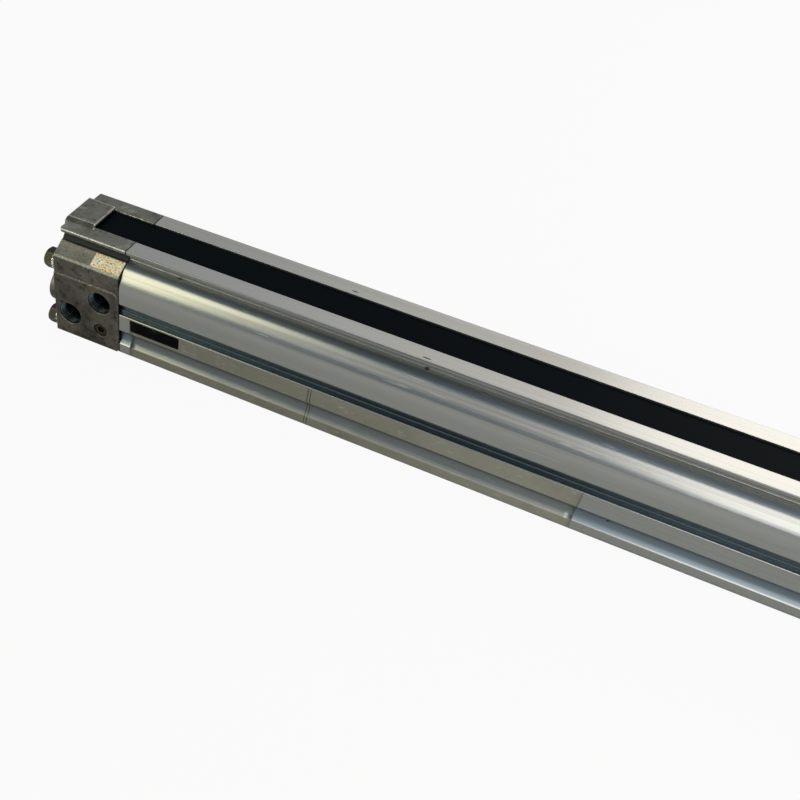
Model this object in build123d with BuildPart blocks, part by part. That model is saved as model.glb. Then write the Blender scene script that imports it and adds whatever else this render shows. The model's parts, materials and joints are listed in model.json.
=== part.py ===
"""Rodless pneumatic linear unit: slotted barrel, two cast end caps, sealing bands, piston and carriage.

Frame: +X along the barrel, +Z up, origin at the middle of the base. Everything is in millimetres.
The piston and the carriage are drawn parked at the +X end of the stroke.
"""
from build123d import *
import math
import os

os.makedirs("parts", exist_ok=True)

# Travel and length
stroke = 400.0
piston_half = 97.5
register_length = 12.0
bumper_gap = 0.5

# Barrel section
body_half_width = 27.5
body_height = 64.0
bore_radius = 20.0
bore_z = 33.0
land_half_width = 20.0
lip_height = 2.2
undercut_half_width = 16.0
undercut_ledge = 1.2
shoulder_z = 41.5
flat_bottom_z = 35.2
groove_depth = 3.2
groove_step = 1.2
groove_floor_top_z = 32.4
groove_floor_low_z = 29.4
label_top_z = 27.0
label_bottom_z = 16.2
trough_depth = 2.5
flange_height = 6.2
base_relief_half_width = 12.0
base_relief = 0.8
edge_round = 0.5
cut_spare = 1.0

# Slot and bands
slot_half_width = 4.2
outer_band_width = 19.4
outer_band_thickness = 0.8
outer_band_sunk = 1.0
band_side_gap = 0.2
inner_band_width = 11.4
inner_band_thickness = 0.3
inner_band_gap = 0.05
inner_band_tail = 6.0
inner_pocket_depth = 8.0

# Air ducts in the barrel and their seals
duct_radius = 3.5
duct_y = 9.5
duct_z = 6.5
seal_section = 0.9
seal_seat_gap = 0.05

# Heights as shares of the way from the bore's axis to the top of the body
undercut_share = 0.774
screw_share = 0.368
cap_undercut_share = 0.813
bevel_top_share = 0.742
bevel_outer_share = 0.574
face_pocket_share = 0.42

# Cap screws
screw_radius = 3.0
screw_hole_gap = 0.15
screw_core_radius = 2.75
thread_gap = 0.03
screw_y = 22.0
screw_low_z = 5.5
screw_reach = 22.0
hex_across_flats = 10.0
hex_height = 4.8
hex_corner_spare = 0.05
hex_chamfer = 1.0
washer_radius = 5.4
washer_thickness = 1.6

# End cap
cap_length = 40.0
cap_side = 27.3
pad_proud = 0.6
pad_root = 0.6
pad_height = 40.0
pad_corner = 3.0
pad_edge_gap = 1.1
bevel_shelf_y = 17.6
bevel_inner_y = 18.6
bevel_round = 3.0
plateau_height = 2.0
plateau_half_width = 10.2
plateau_foot = 2.6
plateau_rib_depth = 6.0
plateau_overhang = 1.5
plateau_length = 17.0
plateau_round = 1.0
flange_corner = 1.5
boss_y = 17.5
boss_z = 25.0
boss_radius = 9.8
boss_height = 4.3
boss_round = 1.0
boss_thread_radius = 3.4
boss_thread_depth = 14.0
face_pocket_radius = 9.0
face_pocket_depth = 3.0

# Ports, cushion screw and cap passages
port_core_radius = 5.9
port_mouth_radius = 7.0
port_depth = 12.0
port_cone_depth = 4.0
port_wall = 0.35
port_a_x = 12.1
port_a_z = 29.7
port_b_x = 30.7
passage_radius = 3.0
chamber_radius = 10.0
chamber_depth = 16.0
needle_x = 11.6
needle_head_radius = 4.0
needle_head_thickness = 1.6
needle_head_gap = 0.25
needle_radius = 1.95
needle_bore_gap = 0.05
needle_wall = 0.4
needle_length = 12.0
needle_seat_radius = 1.0
needle_sunk = 0.5
needle_socket = 4.0
needle_seal_thickness = 0.5
plug_length = 9.0
plug_gap = 0.03
plug_socket = 6.0
plug_sunk = 0.6
socket_depth_share = 0.6

# Cushioning
spigot_radius = 8.0
spigot_bore_radius = 4.0
spigot_length = 26.0
spigot_round = 1.5
spigot_flange_gap = 0.03
cushion_gap = 0.5
cushion_bore_spare = 2.0
cushion_seal_gap = 0.06
cushion_seal_width = 4.0
cushion_seal_depth = 2.2
cushion_seal_inset = 4.0

# Piston
piston_gap = 0.4
seal_gap = 0.03
ring_gap = 0.05
head_length = 40.0
head_land = 2.6
piston_seal_width = 5.0
piston_seal_depth = 3.6
guide_ring_width = 6.0
guide_ring_depth = 1.6
magnet_width = 5.0
magnet_depth = 4.0
yoke_half_width = 12.0
yoke_low = 11.0
yoke_high = 14.0
yoke_round = 2.0
tunnel_gap = 0.6
tunnel_height = 2.6
tunnel_roof = 2.6
neck_radius = 11.0
neck_length = 10.0
neck_gap = 0.03
web_half_width = 3.8
web_half_length = 34.0
band_start_gap = 0.5
inner_ramp = 22.0

# Carriage
carriage_half_length = 76.0
carriage_half_width = 30.0
carriage_rise = 20.0
carriage_skirt = 6.4
carriage_round = 2.0
side_slot_rise = 10.0
side_slot_radius = 2.5
strip_gap = 0.06
strip_thickness = 0.95
strip_inner_y = 11.0
claw_reach = 2.2
saddle_gap = 0.25
saddle_thickness = 3.3
saddle_half_width = 19.0
saddle_half_length = 46.0
saddle_pocket_gap = 0.2
lift_gap = 0.3
outer_ramp = 22.0
channel_side_gap = 0.4
channel_head = 0.6
shoe_length = 5.0
shoe_gap = 0.3
shoe_round = 3.0
wiper_thickness = 6.0
wiper_gap = 0.3
wiper_round = 3.0
yoke_screw_x = 38.0
yoke_screw_y = 15.0
yoke_screw_radius = 2.5
yoke_screw_core_radius = 2.1
yoke_screw_head_radius = 4.25
yoke_screw_head_height = 5.0
yoke_screw_gap = 0.15
yoke_screw_sink = 5.0
yoke_screw_socket = 4.0
wiper_screw_y = 24.0
wiper_screw_rise = 2.0
wiper_screw_radius = 2.0
wiper_screw_length = 14.0
wiper_head_radius = 3.5
wiper_head_height = 2.2
wiper_head_gap = 0.15
wiper_screw_socket = 2.5
table_pitch_x = 40.0
table_pitch_y = 44.0
table_hole_radius = 2.5
table_hole_depth = 12.0

# Clamps for the ends of the outer band
clamp_length = 9.0
clamp_height = 1.6
clamp_gap = 0.1
clamp_screw_radius = 2.0
clamp_screw_gap = 0.03
clamp_screw_length = 4.5
clamp_screw_sunk = 0.5
clamp_screw_socket = 2.0

# Places along the barrel
barrel_length = stroke + 2 * (piston_half + register_length + bumper_gap)
barrel_half = barrel_length / 2
joint_x = -barrel_half
outer_x = joint_x - cap_length
parked_x = stroke / 2

# Heights and widths that follow from the sizes above
seat_z = body_height - outer_band_sunk - outer_band_thickness
band_top_z = seat_z + outer_band_thickness
recess_half = outer_band_width / 2 + band_side_gap
inner_recess_half = inner_band_width / 2 + band_side_gap
inner_band_z = bore_z + bore_radius + inner_band_gap
inner_recess_z = inner_band_z + inner_band_thickness + inner_band_gap
lip_z = body_height - lip_height
crown = body_height - bore_z
undercut_z = bore_z + undercut_share * crown
screw_top_z = bore_z + screw_share * crown
cap_undercut_z = bore_z + cap_undercut_share * crown
bevel_top_z = bore_z + bevel_top_share * crown
bevel_outer_z = bore_z + bevel_outer_share * crown
face_pocket_z = bore_z + face_pocket_share * crown
pad_y = cap_side + pad_proud
screw_hole_radius = screw_radius + screw_hole_gap
port_b_z = screw_low_z + screw_hole_radius + port_wall + port_core_radius
needle_bore_radius = needle_radius + needle_bore_gap
needle_z = screw_low_z + screw_hole_radius + needle_wall + needle_bore_radius
needle_seat_depth = needle_sunk + needle_head_thickness + needle_seal_thickness
screw_spots = [(y, z) for y in (-screw_y, screw_y) for z in (screw_low_z, screw_top_z)]
register_radius = bore_radius - inner_band_gap
piston_radius = bore_radius - piston_gap
cushion_bore_radius = spigot_radius + cushion_gap
head_inner = piston_half - head_length
strip_outer_y = land_half_width + strip_gap + strip_thickness
strip_top_z = body_height + strip_gap + strip_thickness
strip_low_z = lip_z - strip_gap - strip_thickness
claw_y = land_half_width - claw_reach
carriage_top_z = body_height + carriage_rise
carriage_skirt_z = body_height - carriage_skirt
side_slot_z = body_height + side_slot_rise
wiper_screw_z = body_height + wiper_screw_rise
saddle_z = strip_top_z + saddle_gap
saddle_top_z = saddle_z + saddle_thickness
channel_half = outer_band_width / 2 + channel_side_gap
lifted_z = saddle_top_z + lift_gap
channel_top_z = lifted_z + outer_band_thickness + channel_head
tunnel_top_z = bore_z + yoke_high - tunnel_roof
tunnel_floor_z = tunnel_top_z - tunnel_height
dipped_z = tunnel_floor_z + tunnel_gap
clamp_z = band_top_z
pocket_end_x = outer_x + clamp_screw_length + clamp_screw_sunk - plateau_overhang
pocket_top_z = clamp_z + clamp_height + clamp_gap
clamp_screw_z = clamp_z + clamp_height / 2
plateau_end_x = outer_x - plateau_overhang + plateau_length


def save(piece, name):
    """Labels a finished piece and writes it to its own file."""
    piece.part.label = name
    export_step(piece.part, f"parts/{name}.step")


def other_end(piece):
    """The same piece at the other end of the unit."""
    with BuildPart() as twin:
        add(mirror(piece.part, about=Plane.YZ, mode=Mode.PRIVATE))
    return twin


def other_head(piece):
    """The same piece at the other end of the piston and carriage."""
    with BuildPart() as twin:
        add(mirror(piece.part, about=Plane.YZ.offset(parked_x), mode=Mode.PRIVATE))
    return twin


def corners(sketch, *spots):
    """The corners of a sketch at the given distances from its middle line and heights."""
    def near(vertex):
        return any(abs(abs(vertex.X) - x) < 0.01 and abs(vertex.Y - z) < 0.01 for x, z in spots)
    return sketch.vertices().filter_by(near)


def block(x0, x1, half_width, z0, z1, mode=Mode.ADD):
    """A block across the middle plane, from x0 to x1 and from z0 to z1, in the part being built."""
    with BuildSketch(Plane.YZ.offset(x0)) as face:
        with Locations((0, z0)):
            Rectangle(2 * half_width, z1 - z0, align=(Align.CENTER, Align.MIN))
    extrude(face.sketch, amount=x1 - x0, mode=mode)


def rod(x0, x1, radius, spots, mode=Mode.ADD):
    """Round rods or holes along the barrel at the given (y, z) spots."""
    with BuildSketch(Plane.YZ.offset(x0)) as face:
        with Locations(*spots):
            Circle(radius)
    extrude(face.sketch, amount=x1 - x0, mode=mode)


def side_rod(x, z, radius, face_y, depth, side=1, mode=Mode.SUBTRACT):
    """A round hole or rod across the barrel, from a side face inwards; side is 1 near and -1 far."""
    with BuildSketch(Plane.XZ.offset(side * face_y)) as face:
        with Locations((x, z)):
            Circle(radius)
    extrude(face.sketch, amount=-side * depth, mode=mode)


def ring(x0, width, inner, outer):
    """A ring round the bore's axis, starting at x0."""
    with BuildPart() as piece:
        with BuildSketch(Plane.YZ.offset(x0)):
            with Locations((0, bore_z)):
                Circle(outer)
                Circle(inner, mode=Mode.SUBTRACT)
        extrude(amount=width)
    return piece


# Barrel: the extruded section, its slot, ducts and screw channels
def barrel_outline():
    """One half of the outside of the barrel, from the middle of the seat to the middle of the base."""
    Polyline(
        (0, seat_z), (recess_half, seat_z), (recess_half, body_height),
        (land_half_width, body_height), (land_half_width, lip_z),
        (undercut_half_width + undercut_ledge, lip_z),
        (undercut_half_width, lip_z - undercut_ledge), (undercut_half_width, undercut_z),
    )
    TangentArc((body_half_width, shoulder_z), (undercut_half_width, undercut_z), tangent=(0, 1))
    Line((body_half_width, shoulder_z), (body_half_width, flat_bottom_z))
    groove_y = body_half_width - groove_depth
    step_y = groove_y + groove_step
    TangentArc((body_half_width, flat_bottom_z), (groove_y, groove_floor_top_z), tangent=(0, -1))
    Polyline(
        (groove_y, groove_floor_top_z), (groove_y, groove_floor_low_z), (step_y, groove_floor_low_z),
        (step_y, label_top_z), (body_half_width, label_top_z), (body_half_width, label_bottom_z),
    )
    ThreePointArc(
        (body_half_width, label_bottom_z),
        (body_half_width - trough_depth, (label_bottom_z + flange_height) / 2),
        (body_half_width, flange_height),
    )
    Polyline(
        (body_half_width, flange_height), (body_half_width, 0), (base_relief_half_width + base_relief, 0),
        (base_relief_half_width, base_relief), (0, base_relief),
    )


with BuildPart() as barrel:
    with BuildSketch(Plane.YZ.offset(joint_x)) as section:
        with BuildLine():
            barrel_outline()
            mirror(about=Plane.YZ)
        make_face()
        fillet(
            corners(
                section, (land_half_width, body_height), (land_half_width, lip_z),
                (body_half_width, label_top_z), (body_half_width, label_bottom_z),
                (body_half_width, flange_height), (body_half_width, 0),
            ),
            edge_round,
        )
        with Locations((0, bore_z)):
            Circle(bore_radius, mode=Mode.SUBTRACT)
            Rectangle(
                2 * slot_half_width, seat_z - bore_z, align=(Align.CENTER, Align.MIN), mode=Mode.SUBTRACT
            )
            Rectangle(
                2 * inner_recess_half, inner_recess_z - bore_z, align=(Align.CENTER, Align.MIN),
                mode=Mode.SUBTRACT,
            )
        with Locations((-duct_y, duct_z), (duct_y, duct_z)):
            Circle(duct_radius, mode=Mode.SUBTRACT)
        with Locations(*screw_spots):
            Circle(screw_core_radius, mode=Mode.SUBTRACT)
    extrude(amount=barrel_length)
save(barrel, "barrel")


# Sealing bands: each runs the whole length and leaves its seat only where the piston yoke passes
def band(width, thickness, seat, lifted, half_flat, ramp, x_end):
    """A thin strip of constant thickness, seated at one height and lifted to another round the yoke."""
    ends = [-half_flat - ramp, -half_flat, half_flat, half_flat + ramp]
    stations = [parked_x + offset for offset in ends]
    with BuildPart() as strip:
        with BuildSketch(Plane.XZ.offset(-width / 2)):
            with BuildLine():
                for rise in (0, thickness):
                    low, high = seat + rise, lifted + rise
                    Line((-x_end, low), (stations[0], low))
                    Spline((stations[0], low), (stations[1], high), tangents=((1, 0), (1, 0)))
                    Line((stations[1], high), (stations[2], high))
                    Spline((stations[2], high), (stations[3], low), tangents=((1, 0), (1, 0)))
                    Line((stations[3], low), (x_end, low))
                for x in (-x_end, x_end):
                    Line((x, seat), (x, seat + thickness))
            make_face()
        extrude(amount=width)
    return strip


outer_band_end = -pocket_end_x - clamp_gap
outer_band = band(
    outer_band_width, outer_band_thickness, seat_z, lifted_z,
    saddle_half_length + band_start_gap, outer_ramp, outer_band_end,
)
save(outer_band, "outer_band")

inner_band = band(
    inner_band_width, inner_band_thickness, inner_band_z, dipped_z,
    web_half_length + band_start_gap, inner_ramp, barrel_half + inner_band_tail,
)
save(inner_band, "inner_band")


# End caps: die-cast blocks with ports, passages, a register in the bore and a cover over the band end
def cap_outline():
    """One half of the cap's section, from the middle of the top to the middle of the base."""
    Polyline(
        (0, body_height), (land_half_width, body_height), (land_half_width, lip_z),
        (undercut_half_width + undercut_ledge, lip_z), (undercut_half_width, lip_z - undercut_ledge),
        (undercut_half_width, cap_undercut_z), (bevel_shelf_y, bevel_top_z),
        (bevel_inner_y, bevel_top_z), (cap_side, bevel_outer_z), (cap_side, 0), (0, 0),
    )


with BuildPart() as end_cap_left:
    with BuildSketch(Plane.YZ.offset(outer_x)) as cap_section:
        with BuildLine():
            cap_outline()
            mirror(about=Plane.YZ)
        make_face()
        fillet(corners(cap_section, (cap_side, bevel_outer_z)), bevel_round)
        fillet(
            corners(cap_section, (land_half_width, body_height), (land_half_width, lip_z), (cap_side, 0)),
            edge_round,
        )
    extrude(amount=cap_length)

    # Round corners in plan at the outer end of the flange
    corner_x = outer_x + flange_corner
    corner_y = land_half_width - flange_corner
    reach = flange_corner * math.sqrt(0.5)
    for side in (-1, 1):
        with BuildSketch(Plane.XY.offset(cap_undercut_z)):
            with BuildLine():
                ThreePointArc(
                    (outer_x, side * corner_y), (corner_x - reach, side * (corner_y + reach)),
                    (corner_x, side * land_half_width),
                )
                Polyline(
                    (corner_x, side * land_half_width), (corner_x, side * (land_half_width + cut_spare)),
                    (outer_x - cut_spare, side * (land_half_width + cut_spare)),
                    (outer_x - cut_spare, side * corner_y), (outer_x, side * corner_y),
                )
            make_face()
        extrude(amount=body_height - cap_undercut_z, mode=Mode.SUBTRACT)

    # Cover over the end of the outer band
    with BuildSketch(Plane.YZ.offset(outer_x - plateau_overhang)):
        with BuildLine():
            foot_y = plateau_half_width + plateau_foot
            Polyline(
                (0, body_height - plateau_rib_depth), (foot_y, body_height - plateau_rib_depth),
                (foot_y, body_height), (plateau_half_width, body_height + plateau_height),
                (0, body_height + plateau_height),
            )
            mirror(about=Plane.YZ)
        make_face()
    extrude(amount=plateau_length)
    fillet(end_cap_left.faces().sort_by(Axis.Z)[-1].edges(), plateau_round)

    # Machined pads on both sides, with one rounded corner
    for side in (-1, 1):
        with BuildSketch(Plane.XZ.offset(side * (cap_side - pad_root))) as pad:
            with Locations((outer_x, 0)):
                Rectangle(cap_length - pad_edge_gap, pad_height, align=(Align.MIN, Align.MIN))
            fillet(pad.vertices().group_by(Axis.Y)[-1].sort_by(Axis.X)[-1], pad_corner)
        extrude(amount=side * (pad_root + pad_proud))

    # Bosses with a mounting thread on the end face
    rod(outer_x, outer_x - boss_height, boss_radius, [(-boss_y, boss_z), (boss_y, boss_z)])
    boss_rims = end_cap_left.edges().filter_by(GeomType.CIRCLE).group_by(Axis.X)[0]
    fillet(boss_rims, boss_round)
    rod(
        outer_x - boss_height, outer_x - boss_height + boss_thread_depth, boss_thread_radius,
        [(-boss_y, boss_z), (boss_y, boss_z)], Mode.SUBTRACT,
    )
    rod(outer_x, outer_x + face_pocket_depth, face_pocket_radius, [(0, face_pocket_z)], Mode.SUBTRACT)

    # Register in the bore and the chamber behind it
    rod(joint_x, joint_x + register_length, register_radius, [(0, bore_z)])
    groove_x = joint_x + (register_length - 2 * seal_section) / 2 - seal_seat_gap
    groove_width = 2 * (seal_section + seal_seat_gap)
    with BuildSketch(Plane.YZ.offset(groove_x)):
        with Locations((0, bore_z)):
            Circle(register_radius + cut_spare)
            Circle(register_radius - groove_width, mode=Mode.SUBTRACT)
    extrude(amount=groove_width, mode=Mode.SUBTRACT)
    rod(joint_x - chamber_depth, joint_x + register_length, chamber_radius, [(0, bore_z)], Mode.SUBTRACT)

    # Seat and pocket for the outer band and its clamp, and the pocket for the inner band
    block(plateau_end_x, joint_x, recess_half, seat_z, body_height, Mode.SUBTRACT)
    block(pocket_end_x, plateau_end_x, recess_half, seat_z, pocket_top_z, Mode.SUBTRACT)
    block(
        joint_x - inner_pocket_depth, joint_x, inner_recess_half,
        inner_band_z - inner_band_gap, inner_recess_z, Mode.SUBTRACT,
    )
    rod(
        outer_x - plateau_overhang, pocket_end_x, clamp_screw_radius + clamp_screw_gap,
        [(0, clamp_screw_z)], Mode.SUBTRACT,
    )

    # Screw holes and duct holes
    rod(outer_x, joint_x, screw_hole_radius, screw_spots, Mode.SUBTRACT)
    duct_end_x = joint_x - port_b_x - duct_radius
    ducts = [(-duct_y, duct_z), (duct_y, duct_z)]
    rod(duct_end_x, joint_x, duct_radius, ducts, Mode.SUBTRACT)
    rod(
        joint_x - 2 * seal_section, joint_x, duct_radius + 2 * seal_section + seal_seat_gap, ducts,
        Mode.SUBTRACT,
    )

    # Side ports with their conical mouths and passages
    port_taper = math.degrees(math.atan((port_mouth_radius - port_core_radius) / port_cone_depth))
    for side in (-1, 1):
        with BuildSketch(Plane.XZ.offset(side * pad_y)):
            with Locations((joint_x - port_a_x, port_a_z), (joint_x - port_b_x, port_b_z)):
                Circle(port_mouth_radius)
        extrude(amount=-side * port_cone_depth, taper=port_taper, mode=Mode.SUBTRACT)
        side_rod(joint_x - port_a_x, port_a_z, port_core_radius, pad_y, port_depth, side)
        side_rod(joint_x - port_a_x, port_a_z, passage_radius, pad_y, pad_y, side)
        side_rod(joint_x - port_b_x, port_b_z, port_core_radius, pad_y, port_depth, side)
        side_rod(joint_x - port_b_x, port_b_z, passage_radius, pad_y, pad_y - duct_y, side)
        with BuildSketch(Plane.XY.offset(duct_z)):
            with Locations((joint_x - port_b_x, -side * duct_y)):
                Circle(passage_radius)
        extrude(amount=port_b_z - duct_z, mode=Mode.SUBTRACT)

    # Seat of the cushion screw, on the near side only
    needle_place = (joint_x - needle_x, needle_z)
    side_rod(*needle_place, needle_head_radius + needle_head_gap, pad_y, needle_seat_depth)
    side_rod(*needle_place, needle_bore_radius, pad_y, needle_seat_depth + needle_length)
    side_rod(*needle_place, needle_seat_radius, pad_y, pad_y - duct_y)
    with BuildSketch(Plane.XY.offset(needle_z)):
        with Locations((joint_x - needle_x, -duct_y)):
            Circle(needle_seat_radius)
    extrude(amount=bore_z - needle_z, mode=Mode.SUBTRACT)

end_cap_right = other_end(end_cap_left)
save(end_cap_left, "end_cap_left")
save(end_cap_right, "end_cap_right")


# Seals between the cap and the barrel
def torus(x, y, z, radius, section):
    """A rubber ring of round section, lying across the barrel."""
    with BuildPart() as piece:
        with BuildSketch(Plane.XZ.offset(-y)):
            with Locations((x, z + radius)):
                Circle(section)
        revolve(axis=Axis((x, y, z), (1, 0, 0)))
    return piece


bore_seal_x = joint_x + register_length / 2
bore_seal_radius = register_radius - seal_seat_gap - seal_section
bore_seal_left = torus(bore_seal_x, 0, bore_z, bore_seal_radius, seal_section)
duct_seal_x = joint_x - seal_section
duct_seal_radius = duct_radius + seal_section + seal_seat_gap / 2
with BuildPart() as duct_seals_left:
    for y in (-duct_y, duct_y):
        add(torus(duct_seal_x, y, duct_z, duct_seal_radius, seal_section).part)
for name, piece in (("bore_seal", bore_seal_left), ("duct_seals", duct_seals_left)):
    save(piece, f"{name}_left")
    save(other_end(piece), f"{name}_right")

# Cap screws and their washers
head_x = outer_x - washer_thickness
with BuildPart() as turned_heads:
    hex_corner_radius = hex_across_flats / math.sqrt(3) + hex_corner_spare
    rod(head_x, head_x - hex_height, hex_corner_radius, screw_spots)
    chamfer(turned_heads.edges().filter_by(GeomType.CIRCLE).group_by(Axis.X)[0], hex_chamfer)

with BuildPart() as cap_screws_left:
    with BuildSketch(Plane.YZ.offset(head_x)):
        with Locations(*screw_spots):
            RegularPolygon(hex_across_flats / 2, 6, major_radius=False)
    extrude(amount=-hex_height)
    add(turned_heads.part, mode=Mode.INTERSECT)
    rod(head_x, joint_x, screw_radius, screw_spots)
    rod(joint_x, joint_x + screw_reach, screw_core_radius - thread_gap, screw_spots)

with BuildPart() as cap_washers_left:
    with BuildSketch(Plane.YZ.offset(outer_x)):
        with Locations(*screw_spots):
            Circle(washer_radius)
            Circle(screw_hole_radius, mode=Mode.SUBTRACT)
    extrude(amount=-washer_thickness)

# Clamp wedge on the end of the outer band, and its set screw
with BuildPart() as band_clamp_left:
    clamp_half = recess_half - clamp_gap
    with BuildSketch(Plane.XZ.offset(-clamp_half)):
        with BuildLine():
            x0 = pocket_end_x + clamp_gap
            x1 = x0 + clamp_length
            Polyline(
                (x0, clamp_z), (x1, clamp_z), (x1, clamp_z + clamp_height / 2),
                (x1 - clamp_height, clamp_z + clamp_height), (x0, clamp_z + clamp_height), close=True,
            )
        make_face()
    extrude(amount=2 * clamp_half)

with BuildPart() as band_clamp_screw_left:
    tip_x = outer_x - plateau_overhang + clamp_screw_sunk
    rod(tip_x, tip_x + clamp_screw_length, clamp_screw_radius, [(0, clamp_screw_z)])
    with BuildSketch(Plane.YZ.offset(tip_x)):
        with Locations((0, clamp_screw_z)):
            RegularPolygon(clamp_screw_socket / 2, 6, major_radius=False)
    extrude(amount=clamp_screw_length * socket_depth_share, mode=Mode.SUBTRACT)

# Cushion spigot: pressed into the chamber, its nose closes the piston's bore at the end of the stroke
with BuildPart() as cushion_spigot_left:
    nose_x = joint_x + register_length
    rod(joint_x, nose_x, chamber_radius - spigot_flange_gap, [(0, bore_z)])
    rod(nose_x, nose_x + spigot_length, spigot_radius, [(0, bore_z)])
    nose_rim = cushion_spigot_left.edges().filter_by(GeomType.CIRCLE).group_by(Axis.X)[-1]
    fillet(nose_rim, spigot_round)
    rod(joint_x, nose_x + spigot_length, spigot_bore_radius, [(0, bore_z)], Mode.SUBTRACT)

root_twins = (
    ("cap_screws", cap_screws_left), ("cap_washers", cap_washers_left),
    ("band_clamp", band_clamp_left), ("band_clamp_screw", band_clamp_screw_left),
    ("cushion_spigot", cushion_spigot_left),
)
for name, piece in root_twins:
    save(piece, f"{name}_left")
    save(other_end(piece), f"{name}_right")


# Threaded plugs in the ports that are not used
def port_plugs(places):
    """Hexagon socket plugs in the given ports, each place being x, z and side."""
    with BuildPart() as plugs:
        for x, z, side in places:
            face_y = pad_y - plug_sunk
            side_rod(x, z, port_core_radius - plug_gap, face_y, plug_length, side, Mode.ADD)
            with BuildSketch(Plane.XZ.offset(side * face_y)):
                with Locations((x, z)):
                    RegularPolygon(plug_socket / 2, 6, major_radius=False)
            extrude(amount=-side * plug_length * socket_depth_share, mode=Mode.SUBTRACT)
    return plugs


port_a = (joint_x - port_a_x, port_a_z)
port_b = (joint_x - port_b_x, port_b_z)
save(port_plugs([(*port_a, -1), (*port_b, -1)]), "port_plugs_left")
far_ports = [(-x, z, side) for x, z in (port_a, port_b) for side in (-1, 1)]
save(port_plugs(far_ports), "port_plugs_right")

# Cushion screws, which turn in the caps, and the seal under each head
with BuildPart() as cushion_screw_left:
    face_y = pad_y - needle_sunk
    side_rod(*needle_place, needle_head_radius, face_y, needle_head_thickness, mode=Mode.ADD)
    shank_y = face_y - needle_head_thickness
    side_rod(*needle_place, needle_radius, shank_y, needle_length, mode=Mode.ADD)
    tip_rim = cushion_screw_left.edges().filter_by(GeomType.CIRCLE).group_by(Axis.Y)[-1]
    chamfer(tip_rim, needle_radius / 2)
    with BuildSketch(Plane.XZ.offset(face_y)):
        with Locations(needle_place):
            RegularPolygon(needle_socket / 2, 6, major_radius=False)
    extrude(amount=-needle_head_thickness * socket_depth_share, mode=Mode.SUBTRACT)

with BuildPart() as cushion_screw_seal_left:
    seal_y = pad_y - needle_sunk - needle_head_thickness
    seal_radius = needle_head_radius - needle_head_gap
    side_rod(*needle_place, seal_radius, seal_y, needle_seal_thickness, mode=Mode.ADD)
    side_rod(*needle_place, needle_bore_radius, seal_y, needle_seal_thickness)

for name, piece in (("cushion_screw", cushion_screw_left), ("cushion_screw_seal", cushion_screw_seal_left)):
    save(piece, f"{name}_left")
    save(other_end(piece), f"{name}_right")

# Piston yoke: the body in the bore, the web through the slot and the saddle under the carriage
with BuildPart() as piston_yoke:
    with BuildSketch(Plane.YZ.offset(parked_x - head_inner)) as yoke_section:
        with Locations((0, bore_z - yoke_low)):
            Rectangle(2 * yoke_half_width, yoke_low + yoke_high, align=(Align.CENTER, Align.MIN))
        fillet(yoke_section.vertices(), yoke_round)
    extrude(amount=2 * head_inner)
    neck_end = head_inner + neck_length
    rod(parked_x - neck_end, parked_x - head_inner, neck_radius, [(0, bore_z)])
    rod(parked_x + head_inner, parked_x + neck_end, neck_radius, [(0, bore_z)])
    tunnel_half = inner_band_width / 2 + tunnel_gap
    yoke_top_z = bore_z + yoke_high
    for x0, x1, top in (
        (-head_inner, -web_half_length, yoke_top_z),
        (-web_half_length, web_half_length, tunnel_top_z),
        (web_half_length, head_inner, yoke_top_z),
    ):
        block(parked_x + x0, parked_x + x1, tunnel_half, tunnel_floor_z, top, Mode.SUBTRACT)
    block(parked_x - web_half_length, parked_x + web_half_length, web_half_width, yoke_top_z, saddle_z)
    block(
        parked_x - saddle_half_length, parked_x + saddle_half_length, saddle_half_width,
        saddle_z, saddle_top_z,
    )
    with BuildSketch(Plane.XY.offset(saddle_z)):
        with Locations((parked_x, 0)):
            with GridLocations(2 * yoke_screw_x, 2 * yoke_screw_y, 2, 2):
                Circle(yoke_screw_core_radius)
    extrude(amount=saddle_thickness, mode=Mode.SUBTRACT)
save(piston_yoke, "piston_yoke")

# Piston heads with their rings, drawn at the outer end of each head
seal_x = parked_x + piston_half - head_land - piston_seal_width
guide_x = seal_x - head_land - guide_ring_width
magnet_x = guide_x - head_land - magnet_width
cushion_seal_x = parked_x + piston_half - cushion_seal_inset - cushion_seal_width
with BuildPart() as piston_head_right:
    rod(parked_x + head_inner, parked_x + piston_half, piston_radius, [(0, bore_z)])
    for x0, width, depth in (
        (seal_x, piston_seal_width, piston_seal_depth),
        (guide_x, guide_ring_width, guide_ring_depth),
        (magnet_x, magnet_width, magnet_depth),
    ):
        with BuildSketch(Plane.YZ.offset(x0)):
            with Locations((0, bore_z)):
                Circle(piston_radius + cut_spare)
                Circle(piston_radius - depth, mode=Mode.SUBTRACT)
        extrude(amount=width, mode=Mode.SUBTRACT)
    rod(
        parked_x + head_inner, parked_x + head_inner + neck_length, neck_radius + neck_gap,
        [(0, bore_z)], Mode.SUBTRACT,
    )
    cushion_bore_depth = spigot_length - bumper_gap + cushion_bore_spare
    rod(
        parked_x + piston_half - cushion_bore_depth, parked_x + piston_half, cushion_bore_radius,
        [(0, bore_z)], Mode.SUBTRACT,
    )
    rod(
        cushion_seal_x, cushion_seal_x + cushion_seal_width, cushion_bore_radius + cushion_seal_depth,
        [(0, bore_z)], Mode.SUBTRACT,
    )
piston_rings = (
    ("piston_head", piston_head_right),
    ("piston_seal", ring(
        seal_x, piston_seal_width, piston_radius - piston_seal_depth, bore_radius - seal_gap,
    )),
    ("guide_ring", ring(
        guide_x, guide_ring_width, piston_radius - guide_ring_depth, bore_radius - ring_gap,
    )),
    ("magnet_ring", ring(magnet_x, magnet_width, piston_radius - magnet_depth, piston_radius)),
    ("cushion_seal", ring(
        cushion_seal_x, cushion_seal_width, spigot_radius + cushion_seal_gap,
        cushion_bore_radius + cushion_seal_depth,
    )),
)
for name, piece in piston_rings:
    save(piece, f"{name}_right")
    save(other_head(piece), f"{name}_left")

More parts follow.
